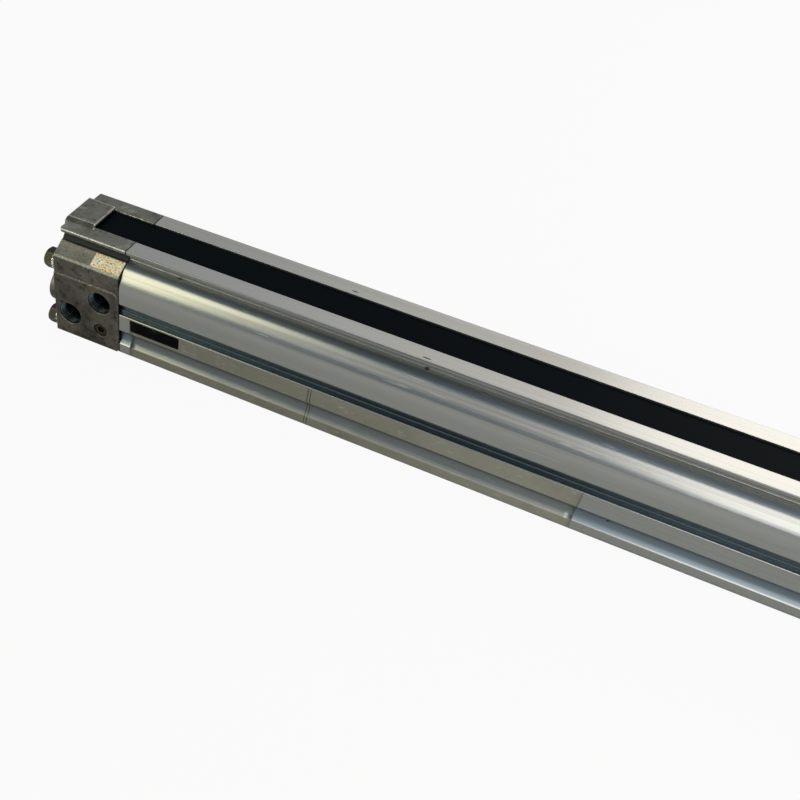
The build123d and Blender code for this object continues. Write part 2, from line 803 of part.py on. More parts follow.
# Carriage: a saddle over the barrel's lands, held by plastic strips round the two lips
carriage_start = parked_x - carriage_half_length
carriage_end = parked_x + carriage_half_length
with BuildPart() as carriage:
    with BuildSketch(Plane.YZ.offset(carriage_start)) as carriage_section:
        with Locations((0, carriage_skirt_z)):
            Rectangle(
                2 * carriage_half_width, carriage_top_z - carriage_skirt_z, align=(Align.CENTER, Align.MIN)
            )
        fillet(carriage_section.vertices(), carriage_round)
        with Locations((-carriage_half_width, side_slot_z), (carriage_half_width, side_slot_z)):
            Circle(side_slot_radius, mode=Mode.SUBTRACT)
    extrude(amount=2 * carriage_half_length)
    block(carriage_start, carriage_end, claw_y, carriage_skirt_z, strip_low_z, Mode.SUBTRACT)
    block(carriage_start, carriage_end, strip_outer_y, strip_low_z, strip_top_z, Mode.SUBTRACT)
    block(carriage_start, carriage_end, channel_half, strip_top_z, channel_top_z, Mode.SUBTRACT)
    pocket_half_length = saddle_half_length + saddle_pocket_gap
    block(
        parked_x - pocket_half_length, parked_x + pocket_half_length,
        saddle_half_width + saddle_pocket_gap, strip_top_z, saddle_top_z, Mode.SUBTRACT,
    )
    with BuildSketch(Plane.XY.offset(carriage_top_z)):
        with Locations((parked_x, 0)):
            with GridLocations(2 * yoke_screw_x, 2 * yoke_screw_y, 2, 2):
                Circle(yoke_screw_radius + yoke_screw_gap)
    extrude(amount=saddle_top_z - carriage_top_z, mode=Mode.SUBTRACT)
    with BuildSketch(Plane.XY.offset(carriage_top_z)):
        with Locations((parked_x, 0)):
            with GridLocations(2 * yoke_screw_x, 2 * yoke_screw_y, 2, 2):
                Circle(yoke_screw_head_radius + yoke_screw_gap)
    extrude(amount=-yoke_screw_sink - yoke_screw_head_height, mode=Mode.SUBTRACT)
    with BuildSketch(Plane.XY.offset(carriage_top_z)):
        with Locations((parked_x, 0)):
            with GridLocations(table_pitch_x, table_pitch_y, 4, 2):
                Circle(table_hole_radius)
    extrude(amount=-table_hole_depth, mode=Mode.SUBTRACT)
    wiper_screw_spots = [(-wiper_screw_y, wiper_screw_z), (wiper_screw_y, wiper_screw_z)]
    for x0, x1 in ((carriage_start, carriage_start + wiper_screw_length),
                   (carriage_end - wiper_screw_length, carriage_end)):
        rod(x0, x1, wiper_screw_radius + thread_gap, wiper_screw_spots, Mode.SUBTRACT)
save(carriage, "carriage")

with BuildPart() as slide_strip_near:
    with BuildSketch(Plane.YZ.offset(carriage_start)):
        with BuildLine():
            Polyline(
                (-strip_inner_y, strip_top_z), (-strip_outer_y, strip_top_z), (-strip_outer_y, strip_low_z),
                (-claw_y, strip_low_z), (-claw_y, strip_low_z + strip_thickness),
                (-strip_outer_y + strip_thickness, strip_low_z + strip_thickness),
                (-strip_outer_y + strip_thickness, strip_top_z - strip_thickness),
                (-strip_inner_y, strip_top_z - strip_thickness), close=True,
            )
        make_face()
    extrude(amount=2 * carriage_half_length)
with BuildPart() as slide_strip_far:
    add(mirror(slide_strip_near.part, about=Plane.XZ, mode=Mode.PRIVATE))
save(slide_strip_near, "slide_strip_near")
save(slide_strip_far, "slide_strip_far")

# Screws between the carriage and the saddle
with BuildPart() as yoke_screws:
    head_low_z = carriage_top_z - yoke_screw_sink - yoke_screw_head_height
    for z0, z1, radius in (
        (saddle_z, saddle_top_z, yoke_screw_core_radius - thread_gap),
        (saddle_top_z, head_low_z, yoke_screw_radius),
        (head_low_z, head_low_z + yoke_screw_head_height, yoke_screw_head_radius),
    ):
        with BuildSketch(Plane.XY.offset(z0)):
            with Locations((parked_x, 0)):
                with GridLocations(2 * yoke_screw_x, 2 * yoke_screw_y, 2, 2):
                    Circle(radius)
        extrude(amount=z1 - z0)
    with BuildSketch(Plane.XY.offset(head_low_z + yoke_screw_head_height)):
        with Locations((parked_x, 0)):
            with GridLocations(2 * yoke_screw_x, 2 * yoke_screw_y, 2, 2):
                RegularPolygon(yoke_screw_socket / 2, 6, major_radius=False)
    extrude(amount=-yoke_screw_head_height * socket_depth_share, mode=Mode.SUBTRACT)
save(yoke_screws, "yoke_screws")

# Shoes that press the outer band back into its seat, wipers and their screws
with BuildPart() as band_shoe_right:
    block(
        carriage_end - shoe_length, carriage_end, outer_band_width / 2 - band_side_gap / 2,
        band_top_z + shoe_gap, channel_top_z,
    )
    front = band_shoe_right.edges().filter_by(Axis.Y).group_by(Axis.Z)[0].sort_by(Axis.X)[0]
    fillet(front, shoe_round)

with BuildPart() as wiper_right:
    with BuildSketch(Plane.YZ.offset(carriage_end)) as wiper_section:
        with Locations((0, carriage_skirt_z)):
            Rectangle(
                2 * carriage_half_width, carriage_top_z - carriage_skirt_z, align=(Align.CENTER, Align.MIN)
            )
        fillet(wiper_section.vertices(), wiper_round)
        with Locations((0, carriage_skirt_z)):
            Rectangle(
                2 * claw_y, lip_z - carriage_skirt_z, align=(Align.CENTER, Align.MIN), mode=Mode.SUBTRACT
            )
        with Locations((0, lip_z - wiper_gap)):
            Rectangle(
                2 * (land_half_width + wiper_gap), lip_height + 2 * wiper_gap,
                align=(Align.CENTER, Align.MIN), mode=Mode.SUBTRACT,
            )
        with Locations((0, band_top_z + wiper_gap)):
            Rectangle(
                outer_band_width - band_side_gap, body_height - band_top_z, align=(Align.CENTER, Align.MIN)
            )
    extrude(amount=wiper_thickness)
    rod(
        carriage_end, carriage_end + wiper_thickness, wiper_screw_radius + thread_gap, wiper_screw_spots,
        Mode.SUBTRACT,
    )
    rod(
        carriage_end + wiper_thickness - wiper_head_height, carriage_end + wiper_thickness,
        wiper_head_radius + wiper_head_gap, wiper_screw_spots, Mode.SUBTRACT,
    )

with BuildPart() as wiper_screws_right:
    outer_end = carriage_end + wiper_thickness
    rod(carriage_end - wiper_screw_length, outer_end, wiper_screw_radius, wiper_screw_spots)
    rod(outer_end - wiper_head_height, outer_end, wiper_head_radius, wiper_screw_spots)
    with BuildSketch(Plane.YZ.offset(outer_end)):
        with Locations(*wiper_screw_spots):
            RegularPolygon(wiper_screw_socket / 2, 6, major_radius=False)
    extrude(amount=-wiper_head_height * socket_depth_share, mode=Mode.SUBTRACT)

carriage_twins = (
    ("band_shoe", band_shoe_right), ("wiper", wiper_right), ("wiper_screws", wiper_screws_right),
)
for name, piece in carriage_twins:
    save(piece, f"{name}_right")
    save(other_head(piece), f"{name}_left")
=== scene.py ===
"""Looks of the linear unit: an anodised barrel with cast caps, a sealing band and a carriage.

Laid out as a Blender add-on and run as a script. The solids come packed and stay where they are. This file
gives them their finishes, adds the port threads, the foil label and the sealing band, and sets the stage.
"""
import json
import math

import bpy
import numpy as np
from mathutils import Matrix, Vector


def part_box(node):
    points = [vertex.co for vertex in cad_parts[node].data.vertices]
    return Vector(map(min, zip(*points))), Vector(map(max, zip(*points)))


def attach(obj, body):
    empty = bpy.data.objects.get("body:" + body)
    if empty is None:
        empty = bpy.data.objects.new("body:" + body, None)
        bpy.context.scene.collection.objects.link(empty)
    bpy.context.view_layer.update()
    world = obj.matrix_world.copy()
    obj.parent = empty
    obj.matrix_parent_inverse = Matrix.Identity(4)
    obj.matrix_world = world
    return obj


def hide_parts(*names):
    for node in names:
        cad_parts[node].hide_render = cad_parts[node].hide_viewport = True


bl_info = {
    "name": "Linear unit looks",
    "version": (1, 0, 0),
    "blender": (4, 5, 0),
    "location": "View3D > Sidebar > Linear unit",
    "description": "Finishes and fine pieces of a rodless linear unit",
    "category": "Object",
}

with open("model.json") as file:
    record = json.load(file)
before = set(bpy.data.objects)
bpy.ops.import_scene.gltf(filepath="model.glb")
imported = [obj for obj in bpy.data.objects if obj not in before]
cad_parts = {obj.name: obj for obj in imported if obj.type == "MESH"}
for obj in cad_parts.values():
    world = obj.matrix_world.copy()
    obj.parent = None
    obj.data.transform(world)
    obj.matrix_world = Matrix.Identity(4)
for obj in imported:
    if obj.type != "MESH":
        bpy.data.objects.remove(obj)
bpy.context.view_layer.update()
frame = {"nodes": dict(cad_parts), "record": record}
mm = 0.001

ROOT_BODY = "barrel_assembly"
BAND_THICKNESS = 0.8 * mm
barrel_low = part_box("barrel")[0]
band_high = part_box("outer_band")[1]
cap_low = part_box("end_cap_left")[0]
near_face_y = barrel_low[1]
joint_x = barrel_low[0]


# Settings that a user would change
class UnitSizes(bpy.types.PropertyGroup):
    """Sizes of the fine pieces."""
    foil_start: bpy.props.FloatProperty(
        name="Foil start", description="From the cap's joint to the foil label",
        default=6.6 * mm, unit="LENGTH",
    )
    foil_length: bpy.props.FloatProperty(
        name="Foil length", description="Length of the foil label", default=248.2 * mm, unit="LENGTH",
    )
    foil_thickness: bpy.props.FloatProperty(
        name="Foil thickness", description="Thickness of the foil label", default=0.08 * mm, unit="LENGTH",
    )
    foil_top: bpy.props.FloatProperty(
        name="Foil top", description="Height of the label's upper edge", default=26.4 * mm, unit="LENGTH",
    )
    foil_bottom: bpy.props.FloatProperty(
        name="Foil bottom", description="Height of the label's lower edge", default=0.9 * mm, unit="LENGTH",
    )
    thread_pitch: bpy.props.FloatProperty(
        name="Thread pitch", description="Pitch of the port threads", default=1.337 * mm, unit="LENGTH",
    )
    thread_depth: bpy.props.FloatProperty(
        name="Thread depth", description="From the port's bore to a thread's crest",
        default=0.35 * mm, unit="LENGTH",
    )
    port_mouth: bpy.props.FloatProperty(
        name="Port mouth", description="Radius of the conical mouth at the face",
        default=7.0 * mm, unit="LENGTH",
    )
    band_edge: bpy.props.FloatProperty(
        name="Band edge", description="Rounding along the sealing band", default=0.25 * mm, unit="LENGTH",
    )


class UnitFinishes(bpy.types.PropertyGroup):
    """Colours of the surfaces."""
    barrel: bpy.props.FloatVectorProperty(
        name="Barrel", description="Anodised aluminium",
        default=(0.42, 0.43, 0.42), size=3, subtype="COLOR",
    )
    cap: bpy.props.FloatVectorProperty(
        name="Cap", description="Cast aluminium",
        default=(0.185, 0.184, 0.164), size=3, subtype="COLOR",
    )
    screw: bpy.props.FloatVectorProperty(
        name="Screws", description="Dulled zinc plating",
        default=(0.050, 0.047, 0.038), size=3, subtype="COLOR",
    )
    foil: bpy.props.FloatVectorProperty(
        name="Foil", description="Label foil",
        default=(0.315, 0.310, 0.262), size=3, subtype="COLOR",
    )
    band: bpy.props.FloatVectorProperty(
        name="Band", description="Sealing band",
        default=(0.0009, 0.0030, 0.0046), size=3, subtype="COLOR",
    )
    wear: bpy.props.FloatProperty(
        name="Wear", description="How strongly edges are worn", default=0.7, min=0, max=1, subtype="FACTOR",
    )


class UnitStage(bpy.types.PropertyGroup):
    """Floor, lamps and surroundings."""
    floor_size: bpy.props.FloatProperty(
        name="Floor size", description="Side of the floor", default=12.0, unit="LENGTH",
    )
    window_power: bpy.props.FloatProperty(
        name="Window power", description="Power of the window-like lamp behind", default=16.0, unit="POWER",
    )
    front_power: bpy.props.FloatProperty(
        name="Front power", description="Power of the left lamp in front; the right one has a little less",
        default=30.0, unit="POWER",
    )
    world_level: bpy.props.FloatProperty(
        name="World level", description="Brightness of the surroundings", default=0.52, min=0,
    )


def settings():
    """The three groups of settings of this scene."""
    scene = bpy.context.scene
    return scene.unit_sizes, scene.unit_finishes, scene.unit_stage


# Surfaces from arrays
def grid_faces(rows, columns, wrap_rows=False, wrap_columns=False):
    """Quads between neighbours of a grid; a wrapped direction also joins its last line to its first."""
    r = np.arange(rows if wrap_rows else rows - 1)[:, None]
    c = np.arange(columns if wrap_columns else columns - 1)[None, :]
    down, right = (r + 1) % rows, (c + 1) % columns
    quads = np.stack([r * columns + c, r * columns + right, down * columns + right, down * columns + c], -1)
    return quads.reshape(-1, 4)


def mesh_piece(name, points, faces, finish, body=ROOT_BODY, smooth=True):
    """An object made of points and faces, turned to face outwards, with its finish and body."""
    points = np.asarray(points, float).reshape(-1, 3)
    faces = [list(face) for face in faces]
    volume = 0.0
    for size in sorted({len(face) for face in faces}):
        group = np.array([face for face in faces if len(face) == size])
        for k in range(1, size - 1):
            a, b, c = points[group[:, 0]], points[group[:, k]], points[group[:, k + 1]]
            volume += np.einsum("ij,ij->i", a, np.cross(b, c)).sum()
    if volume < 0:
        faces = [face[::-1] for face in faces]
    mesh = bpy.data.meshes.new(name)
    mesh.from_pydata(points.tolist(), [], faces)
    mesh.polygons.foreach_set("use_smooth", np.full(len(mesh.polygons), smooth))
    mesh.materials.append(finish)
    mesh.update()
    piece = bpy.data.objects.new(name, mesh)
    bpy.context.scene.collection.objects.link(piece)
    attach(piece, body)
    return piece


def swept(profile, stations):
    """A closed bar: the closed profile of (y, z) points, carried straight along X through the stations."""
    profile = np.asarray(profile)
    stations = np.asarray(stations)
    points = np.empty((len(stations), len(profile), 3))
    points[..., 0] = stations[:, None]
    points[..., 1:] = profile[None]
    count, last = len(profile), (len(stations) - 1) * len(profile)
    faces = grid_faces(len(stations), count, wrap_columns=True).tolist()
    faces += [list(range(count))[::-1], list(range(last, last + count))]
    return points, faces


# Shader maths
class Socket:
    """An output in a material. Sums and products of sockets and numbers add Math nodes."""

    def __init__(self, shader, link):
        self.shader, self.link = shader, link

    def math(self, operation, *others):
        """A Math node on this socket and the others."""
        return self.shader.add("ShaderNodeMath", {"operation": operation}, dict(enumerate((self, *others))))

    def __add__(self, other):
        return self.math("ADD", other)

    def __sub__(self, other):
        return self.math("SUBTRACT", other)

    def __mul__(self, other):
        return self.math("MULTIPLY", other)

    def __rsub__(self, other):
        return self.math("MULTIPLY_ADD", -1.0, other)

    __radd__, __rmul__ = __add__, __mul__

    def clamped(self):
        """The value held between 0 and 1."""
        return self.shader.add("ShaderNodeClamp", {}, {0: self})

    def size(self):
        """The value without its sign."""
        return self.math("ABSOLUTE")

    def spread(self, low, high, to_low=0.0, to_high=1.0):
        """A smooth step: low and below gives to_low, high and above gives to_high."""
        return self.shader.add(
            "ShaderNodeMapRange", {"interpolation_type": "SMOOTHSTEP"},
            {0: self, 1: low, 2: high, 3: to_low, 4: to_high},
        )

    def past(self, low, high, to_low=0.0, to_high=1.0):
        """A smooth step between two millimetre marks."""
        return self.spread(low * mm, high * mm, to_low, to_high)

    def short_of(self, low, high):
        """A smooth step down to 0 between two millimetre marks."""
        return self.past(low, high, 1.0, 0.0)


class Shader:
    """A material in the making, with the patterns that this object's finishes share."""

    def __init__(self, name, kind="materials"):
        self.material = getattr(bpy.data, kind).new(name)
        self.material.use_nodes = True
        self.tree = self.material.node_tree
        self.tree.nodes.clear()
        self.spot = self.add("ShaderNodeTexCoord", {}, {}, "Object")
        self.x, self.y, self.z = (
            self.add("ShaderNodeSeparateXYZ", {}, {0: self.spot}, axis) for axis in ("X", "Y", "Z")
        )

    def add(self, kind, choices, values, output=0):
        """Adds a node of a kind: its choices are set first, then its sockets. Returns one output."""
        node = self.tree.nodes.new(kind)
        for name, choice in choices.items():
            setattr(node, name, choice)
        for key, value in values.items():
            entry = node.inputs[key]
            if isinstance(value, Socket):
                self.tree.links.new(value.link, entry)
            elif entry.type == "RGBA" and len(value) == 3:
                entry.default_value = (*value, 1.0)
            else:
                entry.default_value = value
        return Socket(self, node.outputs[output])

    def noise(self, scale, detail=3.0, roughness=0.5, stretch=(1.0, 1.0, 1.0), offset=(0.0, 0.0, 0.0)):
        """Noise on Object coordinates, scale in cycles per metre, each axis multiplied by stretch."""
        spot = self.add("ShaderNodeMapping", {}, {0: self.spot, "Location": offset, "Scale": stretch})
        values = {"Vector": spot, "Scale": scale, "Detail": detail, "Roughness": roughness}
        return self.add("ShaderNodeTexNoise", {}, values)

    def mix(self, share, first, second):
        """A colour between two, by share."""
        return self.add("ShaderNodeMix", {"data_type": "RGBA"}, {0: share, 6: first, 7: second}, 2)

    def shade(self, colour, factor):
        """A colour made lighter or darker by a factor that varies over the surface."""
        grey = self.add("ShaderNodeCombineColor", {}, {0: factor, 1: factor, 2: factor})
        choices = {"data_type": "RGBA", "blend_type": "MULTIPLY"}
        return self.add("ShaderNodeMix", choices, {0: 1.0, 6: colour, 7: grey}, 2)

    def layered(self, colour, *layers):
        """A colour with each layer's own colour mixed in by its share, one after the other."""
        for share, layer in layers:
            colour = self.mix(share, colour, layer)
        return colour

    def towards(self, first, second):
        """How much two directions agree: their dot product."""
        return self.add("ShaderNodeVectorMath", {"operation": "DOT_PRODUCT"}, {0: first, 1: second}, 1)

    def edges(self, radius):
        """How near a point is to a sharp edge: 0 on flats, towards 1 within the radius of an edge."""
        flat = self.add("ShaderNodeNewGeometry", {}, {}, "Normal")
        along = self.towards(self.soft_edges(radius), flat)
        return (1.0 - along).spread(0.004, 0.16)

    def crevices(self, distance):
        """How closed in a point is: 0 in the open, towards 1 in corners and grooves."""
        open_share = self.add("ShaderNodeAmbientOcclusion", {"samples": 6}, {"Distance": distance}, "AO")
        return 1.0 - open_share

    def bump(self, height, depth, strength=0.6, base=None):
        """A normal from a height pattern of the given depth in metres."""
        values = {"Strength": strength, "Distance": depth, "Height": height}
        if base is not None:
            values["Normal"] = base
        return self.add("ShaderNodeBump", {}, values)

    def soft_edges(self, radius):
        """A normal that rounds sharp edges by a radius."""
        return self.add("ShaderNodeBevel", {"samples": 6}, {"Radius": radius})

    def within(self, value, low, high, blur):
        """A band of a value: 1 between low and high, falling to 0 over the blur on both sides."""
        return value.spread(low - blur, low + blur) * value.spread(high - blur, high + blur, 1.0, 0.0)

    def strip(self, value, span, blur):
        """The same for a span and a blur in millimetres."""
        return self.within(value, span[0] * mm, span[1] * mm, blur * mm)

    def backdrop(self, direct, mirrored):
        """How white the background is: for the camera's own rays, and for those mirrored or passed on."""
        seen, glossy, passed = (
            self.add("ShaderNodeLightPath", {}, {}, f"Is {kind} Ray")
            for kind in ("Camera", "Glossy", "Transmission")
        )
        return (seen * direct + glossy * mirrored + passed * mirrored).clamped()

    def finish(self, **values):
        """The surface itself; values are named after the sockets of the Principled shader."""
        plain = {name.replace("_", " "): value for name, value in values.items()}
        surface = self.add("ShaderNodeBsdfPrincipled", {}, plain, "BSDF")
        self.output(surface)
        return self.material

    def output(self, surface, kind="Material"):
        """Joins a surface to the output of a material or a world."""
        node = self.tree.nodes.new(f"ShaderNodeOutput{kind}")
        self.tree.links.new(surface.link, node.inputs["Surface"])


def dress(finish, *names):
    """Gives the CAD nodes of these names a finish; a name without an ending covers both ends."""
    for name in names:
        for node in (name, f"{name}_left", f"{name}_right"):
            if node in frame["nodes"]:
                mesh = frame["nodes"][node].data
                mesh.materials.clear()
                mesh.materials.append(finish)


# Places where the finishes change, as spans in millimetres. A knock has its middle and its reach along X, Y
# and Z. The thread direction is the way that a thread's upper side faces: the side that is painted lit.
SIDE, JOINT = -near_face_y / mm, -joint_x / mm
TROUGH_Z, GROOVE_Z, SHOULDER_Z = (6.7, 15.4), (26.7, 34.6), (42.0, 57.0)
FOOT_X, FOOT_Y, FOOT_Z = (-170.0, -30.0), (15.5, 16.0), (54.2, 56.1)
RIM_Y, RIM_Z = (15.5, 15.9), (56.45, 57.2)
UNDERCUT_Z, LIP_LOW_Z, LIP_HIGH_Z = (58.4, 61.5), (61.7, 62.3), (63.3, 63.8)
LIP_Y, LIP_Z = (19.6, 19.8), (61.5, 61.7)
BEVEL_Y, BEVEL_Z, SCRAPED_Z = (18.8, 26.4), (51.4, 55.8), (52.5, 55.5)
PAD_X, PARTING_X = (JOINT + 0.5, JOINT + 18.2), (JOINT + 18.05, JOINT + 18.35)
ROLLED_Y, ROLLED_Z = (25.3, 25.8), (49.0, 51.6)
COVER_SLOPE_Y, COVER_SLOPE_Z = (10.3, 13.0), (64.0, 64.3)
COVER_EDGE_Y, COVER_EDGE_Z = (9.5, 10.25), (65.0, 65.4)
CAP_LIP_Y, CAP_LIP_Z = (19.4, 19.6), (63.3, 64.3)
SHELF_Z, SHELF_INNER_Y, SHELF_OUTER_Y = (55.0, 62.6), (14.5, 15.5), (17.6, 18.4)
FIELD_X, FIELD_Z, FIELD_CORNER = (0.5, 30.1), (18.2, 26.0), 1.0
RULES_X, RULES_Z, RULE_WIDTH = (105.0, 106.5), (1.6, 25.9), 0.5
THREAD_LIT_FACING = (0.62, 0.0, -0.78)
KNOCKS = (
    ((-145.4, -17.6, 64.0), (2.3, 0.5, 1.0)),
    ((-144.2, -16.6, 57.0), (1.3, 0.7, 0.8)),
    ((-279.7, -16.8, 57.0), (1.7, 0.7, 0.8)),
    ((-193.9, 12.6, 64.0), (1.8, 0.45, 1.0)),
    ((-39.5, -25.3, 12.5), (0.8, 1.5, 0.7)),
)

# Colours that the finishes mix in: wear, grime, print, and painted shade, glints, highlights and reflections
RUBBED_ANODISE, SCUFFED = (0.80, 0.80, 0.76), (0.72, 0.72, 0.68)
CREVICE_DIRT_AND_SHADE, GROOVE_SHADE, TROUGH_REFLECTION = (0.012, 0.020, 0.022), (0.068, 0.106, 0.132), (0.15, 0.21, 0.27)
FOOT_SHADE, RIM_LIGHT, LIP_SHADE = (0.055, 0.065, 0.075), (0.80, 0.81, 0.80), (0.06, 0.065, 0.065)
KNOCK_SHADE, JOINT_SHADE = (0.015, 0.015, 0.014), (0.012, 0.012, 0.012)
BROWN_STAIN, RUBBED_CAST, BRIGHT_FLECK = (0.060, 0.048, 0.034), (0.46, 0.455, 0.42), (0.62, 0.61, 0.55)
CORNER_DIRT_AND_SHADE, SCRAPED_CAST, OIL_STAIN = (0.030, 0.027, 0.021), (0.38, 0.33, 0.25), (0.022, 0.016, 0.011)
PAD_GOLD_GLINT, PAD_PALE_GLINT = (0.98, 0.76, 0.42), (1.0, 0.94, 0.72)
SIDE_SHADE_DARK, SIDE_SHADE_PALE = (0.038, 0.034, 0.027), (0.130, 0.118, 0.094)
ROLLED_SHADE, ROLLED_GLINT = (0.070, 0.078, 0.086), (0.34, 0.35, 0.36)
COVER_SHADE, WORN_CAST, EDGE_LIGHT = (0.040, 0.041, 0.037), (0.74, 0.73, 0.68), (0.72, 0.73, 0.70)
SHELF_SHADE, PARTING_SHADE = (0.010, 0.014, 0.018), (0.03, 0.03, 0.03)
RESIDUE_AND_SHADE, RUBBED_STEEL, SOCKET_SHADE = (0.040, 0.030, 0.020), (0.75, 0.74, 0.70), (0.006, 0.006, 0.005)
ZINC_DARK, ZINC_GLINT = (0.10, 0.095, 0.08), (0.95, 0.94, 0.88)
RUBBER_BLACK, RUBBER_BLOOM = (0.012, 0.012, 0.012), (0.045, 0.045, 0.045)
BAND_RUB, BAND_DUST = (0.006, 0.010, 0.012), (0.06, 0.06, 0.055)
THREAD_SHADE, THREAD_COOL_LIGHT, THREAD_DEPTH_SHADE = (0.020, 0.028, 0.032), (0.27, 0.42, 0.50), (0.004, 0.006, 0.007)
FOIL_GRIME, FOIL_TROUGH_REFLECTION = (0.17, 0.17, 0.14), (0.15, 0.19, 0.23)
RULE_INK, FIELD_INK = (0.05, 0.05, 0.05), (0.0015, 0.002, 0.002)


# Finishes
def joint_line(s):
    """The dark line where a cap meets the barrel: 1 within a third of a millimetre of either joint."""
    return s.strip(s.x.size(), (JOINT - 0.34, JOINT + 0.34), 0.06)


def trough(s):
    """Where the trough's cool reflection is painted: 1 on its hollow, 0 towards its lower rim."""
    return s.strip(s.z, TROUGH_Z, 0.5) * s.y.size().short_of(SIDE - 0.3, SIDE + 0.02)


def lip_lines(s):
    """Painted shade on the lips' outer faces, a darker painted line along both of their edges, and painted
    shade below them.
    """
    face = s.y.size().past(*LIP_Y) * s.z.past(*LIP_Z)
    lines = s.strip(s.z, LIP_HIGH_Z, 0.12) * 0.34 + s.strip(s.z, LIP_LOW_Z, 0.12) * 0.60
    under = s.strip(s.z, UNDERCUT_Z, 0.15) * s.y.size().past(*RIM_Y)
    return face * (lines + 0.22) + under * 0.45


def shoulder_foot(s):
    """The darker strip at the shoulder's foot by the undercut, which fades out along X."""
    strip = s.strip(s.z, FOOT_Z, 0.5) * s.y.size().past(*FOOT_Y)
    return strip * s.x.past(*FOOT_X, 0.52, 0.0)


def knocks(s):
    """Small knocks on the barrel: each is 1 inside an ellipsoid, by the square of its scaled distance."""
    marks = 0.0
    for middle, reach in KNOCKS:
        x, y, z = (
            (value - at * mm) * (1.0 / (far * mm))
            for value, at, far in zip((s.x, s.y, s.z), middle, reach)
        )
        away = x * x + y * y + z * z
        marks = away.spread(0.6, 1.3, 1.0, 0.0) + marks
    return marks.clamped()


def anodised(name, colour, shine=0.24, grooved=False):
    """Anodised extrusion: die lines along X, faint clouding, fine scratches, and grime with painted shade in
    its grooves and crevices.
    """
    s = Shader(name)
    lines = s.noise(1600.0, 2.0, 0.6, (0.004, 1.0, 1.0))
    broad = s.noise(260.0, 2.0, 0.5, (0.012, 1.0, 1.0))
    streaks = s.noise(700.0, 2.0, 0.6, (0.003, 1.0, 1.0), (0.0, 5.0, 3.0)).spread(0.50, 0.62)
    clouds = s.noise(16.0, 4.0, 0.6, (0.5, 1.0, 1.0))
    scuffs = s.noise(420.0, 2.0, 0.7, (0.06, 1.0, 1.0), (3.0, 1.0, 2.0)).spread(0.66, 0.74)
    # Darker in the crevices: grime together with painted shade.
    crevice_dirt_and_shade = s.crevices(3.0 * mm) * s.noise(220.0, 3.0, 0.6).spread(0.3, 0.7, 0.35, 1.0)
    drawn = s.strip(s.z, SHOULDER_Z, 1.0) * 0.09 + 0.04
    tone = lines * 0.10 + broad * 0.10 + clouds * 0.14 + 0.83 - streaks * drawn
    rough = lines * 0.10 + clouds * 0.10 + scuffs * 0.12 + (shine - 0.10)
    layers = [
        (s.edges(0.4 * mm) * 0.35, RUBBED_ANODISE),
        (scuffs * 0.25, SCUFFED),
        (crevice_dirt_and_shade.clamped() * 0.92, CREVICE_DIRT_AND_SHADE),
    ]
    if grooved:
        # Painted shade in the grooves.
        sunk_shade = s.strip(s.z, GROOVE_Z, 0.2) * s.y.size().short_of(SIDE - 0.6, SIDE - 0.1)
        rim = s.strip(s.z, RIM_Z, 0.15) * s.y.size().past(*RIM_Y)
        layers += [
            (sunk_shade * 0.82, GROOVE_SHADE),
            # Painted cool reflection in the trough.
            (trough(s) * 0.76, TROUGH_REFLECTION),
            (shoulder_foot(s), FOOT_SHADE),
            (rim * 0.55, RIM_LIGHT),
            (lip_lines(s), LIP_SHADE),
            (knocks(s) * 0.85, KNOCK_SHADE),
        ]
        rough = rough + trough(s) * 0.14
    shade = s.layered(s.shade(colour, tone), *layers, (joint_line(s), JOINT_SHADE))
    normal = s.bump(lines * 0.5 + broad + streaks * 0.6, 0.014 * mm, 0.55, s.soft_edges(0.25 * mm))
    return s.finish(Base_Color=shade, Metallic=0.92, Roughness=rough, Normal=normal)


def cap_places(s):
    """Where a cap's places are, each 1 inside and 0 outside.

    The ground pads, the scraped rest of the bevel, the side, its rolled edge, the parting line, the
    cover's slope, the lit edges of cover and lips, and the shelf under the cover.
    """
    along, out = s.x.size(), s.y.size()
    bevel = s.strip(s.z, BEVEL_Z, 0.15) * s.strip(out, BEVEL_Y, 0.15)
    pads = bevel * s.strip(along, PAD_X, 0.15)
    scraped = bevel * (1.0 - pads) * s.z.past(*SCRAPED_Z, 0.35, 1.0)
    side = out.past(SIDE - 0.6, SIDE)
    rolled = s.strip(s.z, ROLLED_Z, 0.3) * out.past(*ROLLED_Y)
    parting = s.strip(along, PARTING_X, 0.06) * side
    slope = s.z.past(*COVER_SLOPE_Z) * s.strip(out, COVER_SLOPE_Y, 0.2)
    lit = s.z.past(*COVER_EDGE_Z) * s.strip(out, COVER_EDGE_Y, 0.1) * 0.6
    lit = lit + s.strip(s.z, CAP_LIP_Z, 0.1) * out.past(*CAP_LIP_Y)
    shelf = s.strip(s.z, SHELF_Z, 0.3) * out.short_of(*SHELF_OUTER_Y) * out.past(*SHELF_INNER_Y)
    return pads, scraped, side, rolled, parting, slope, lit, shelf


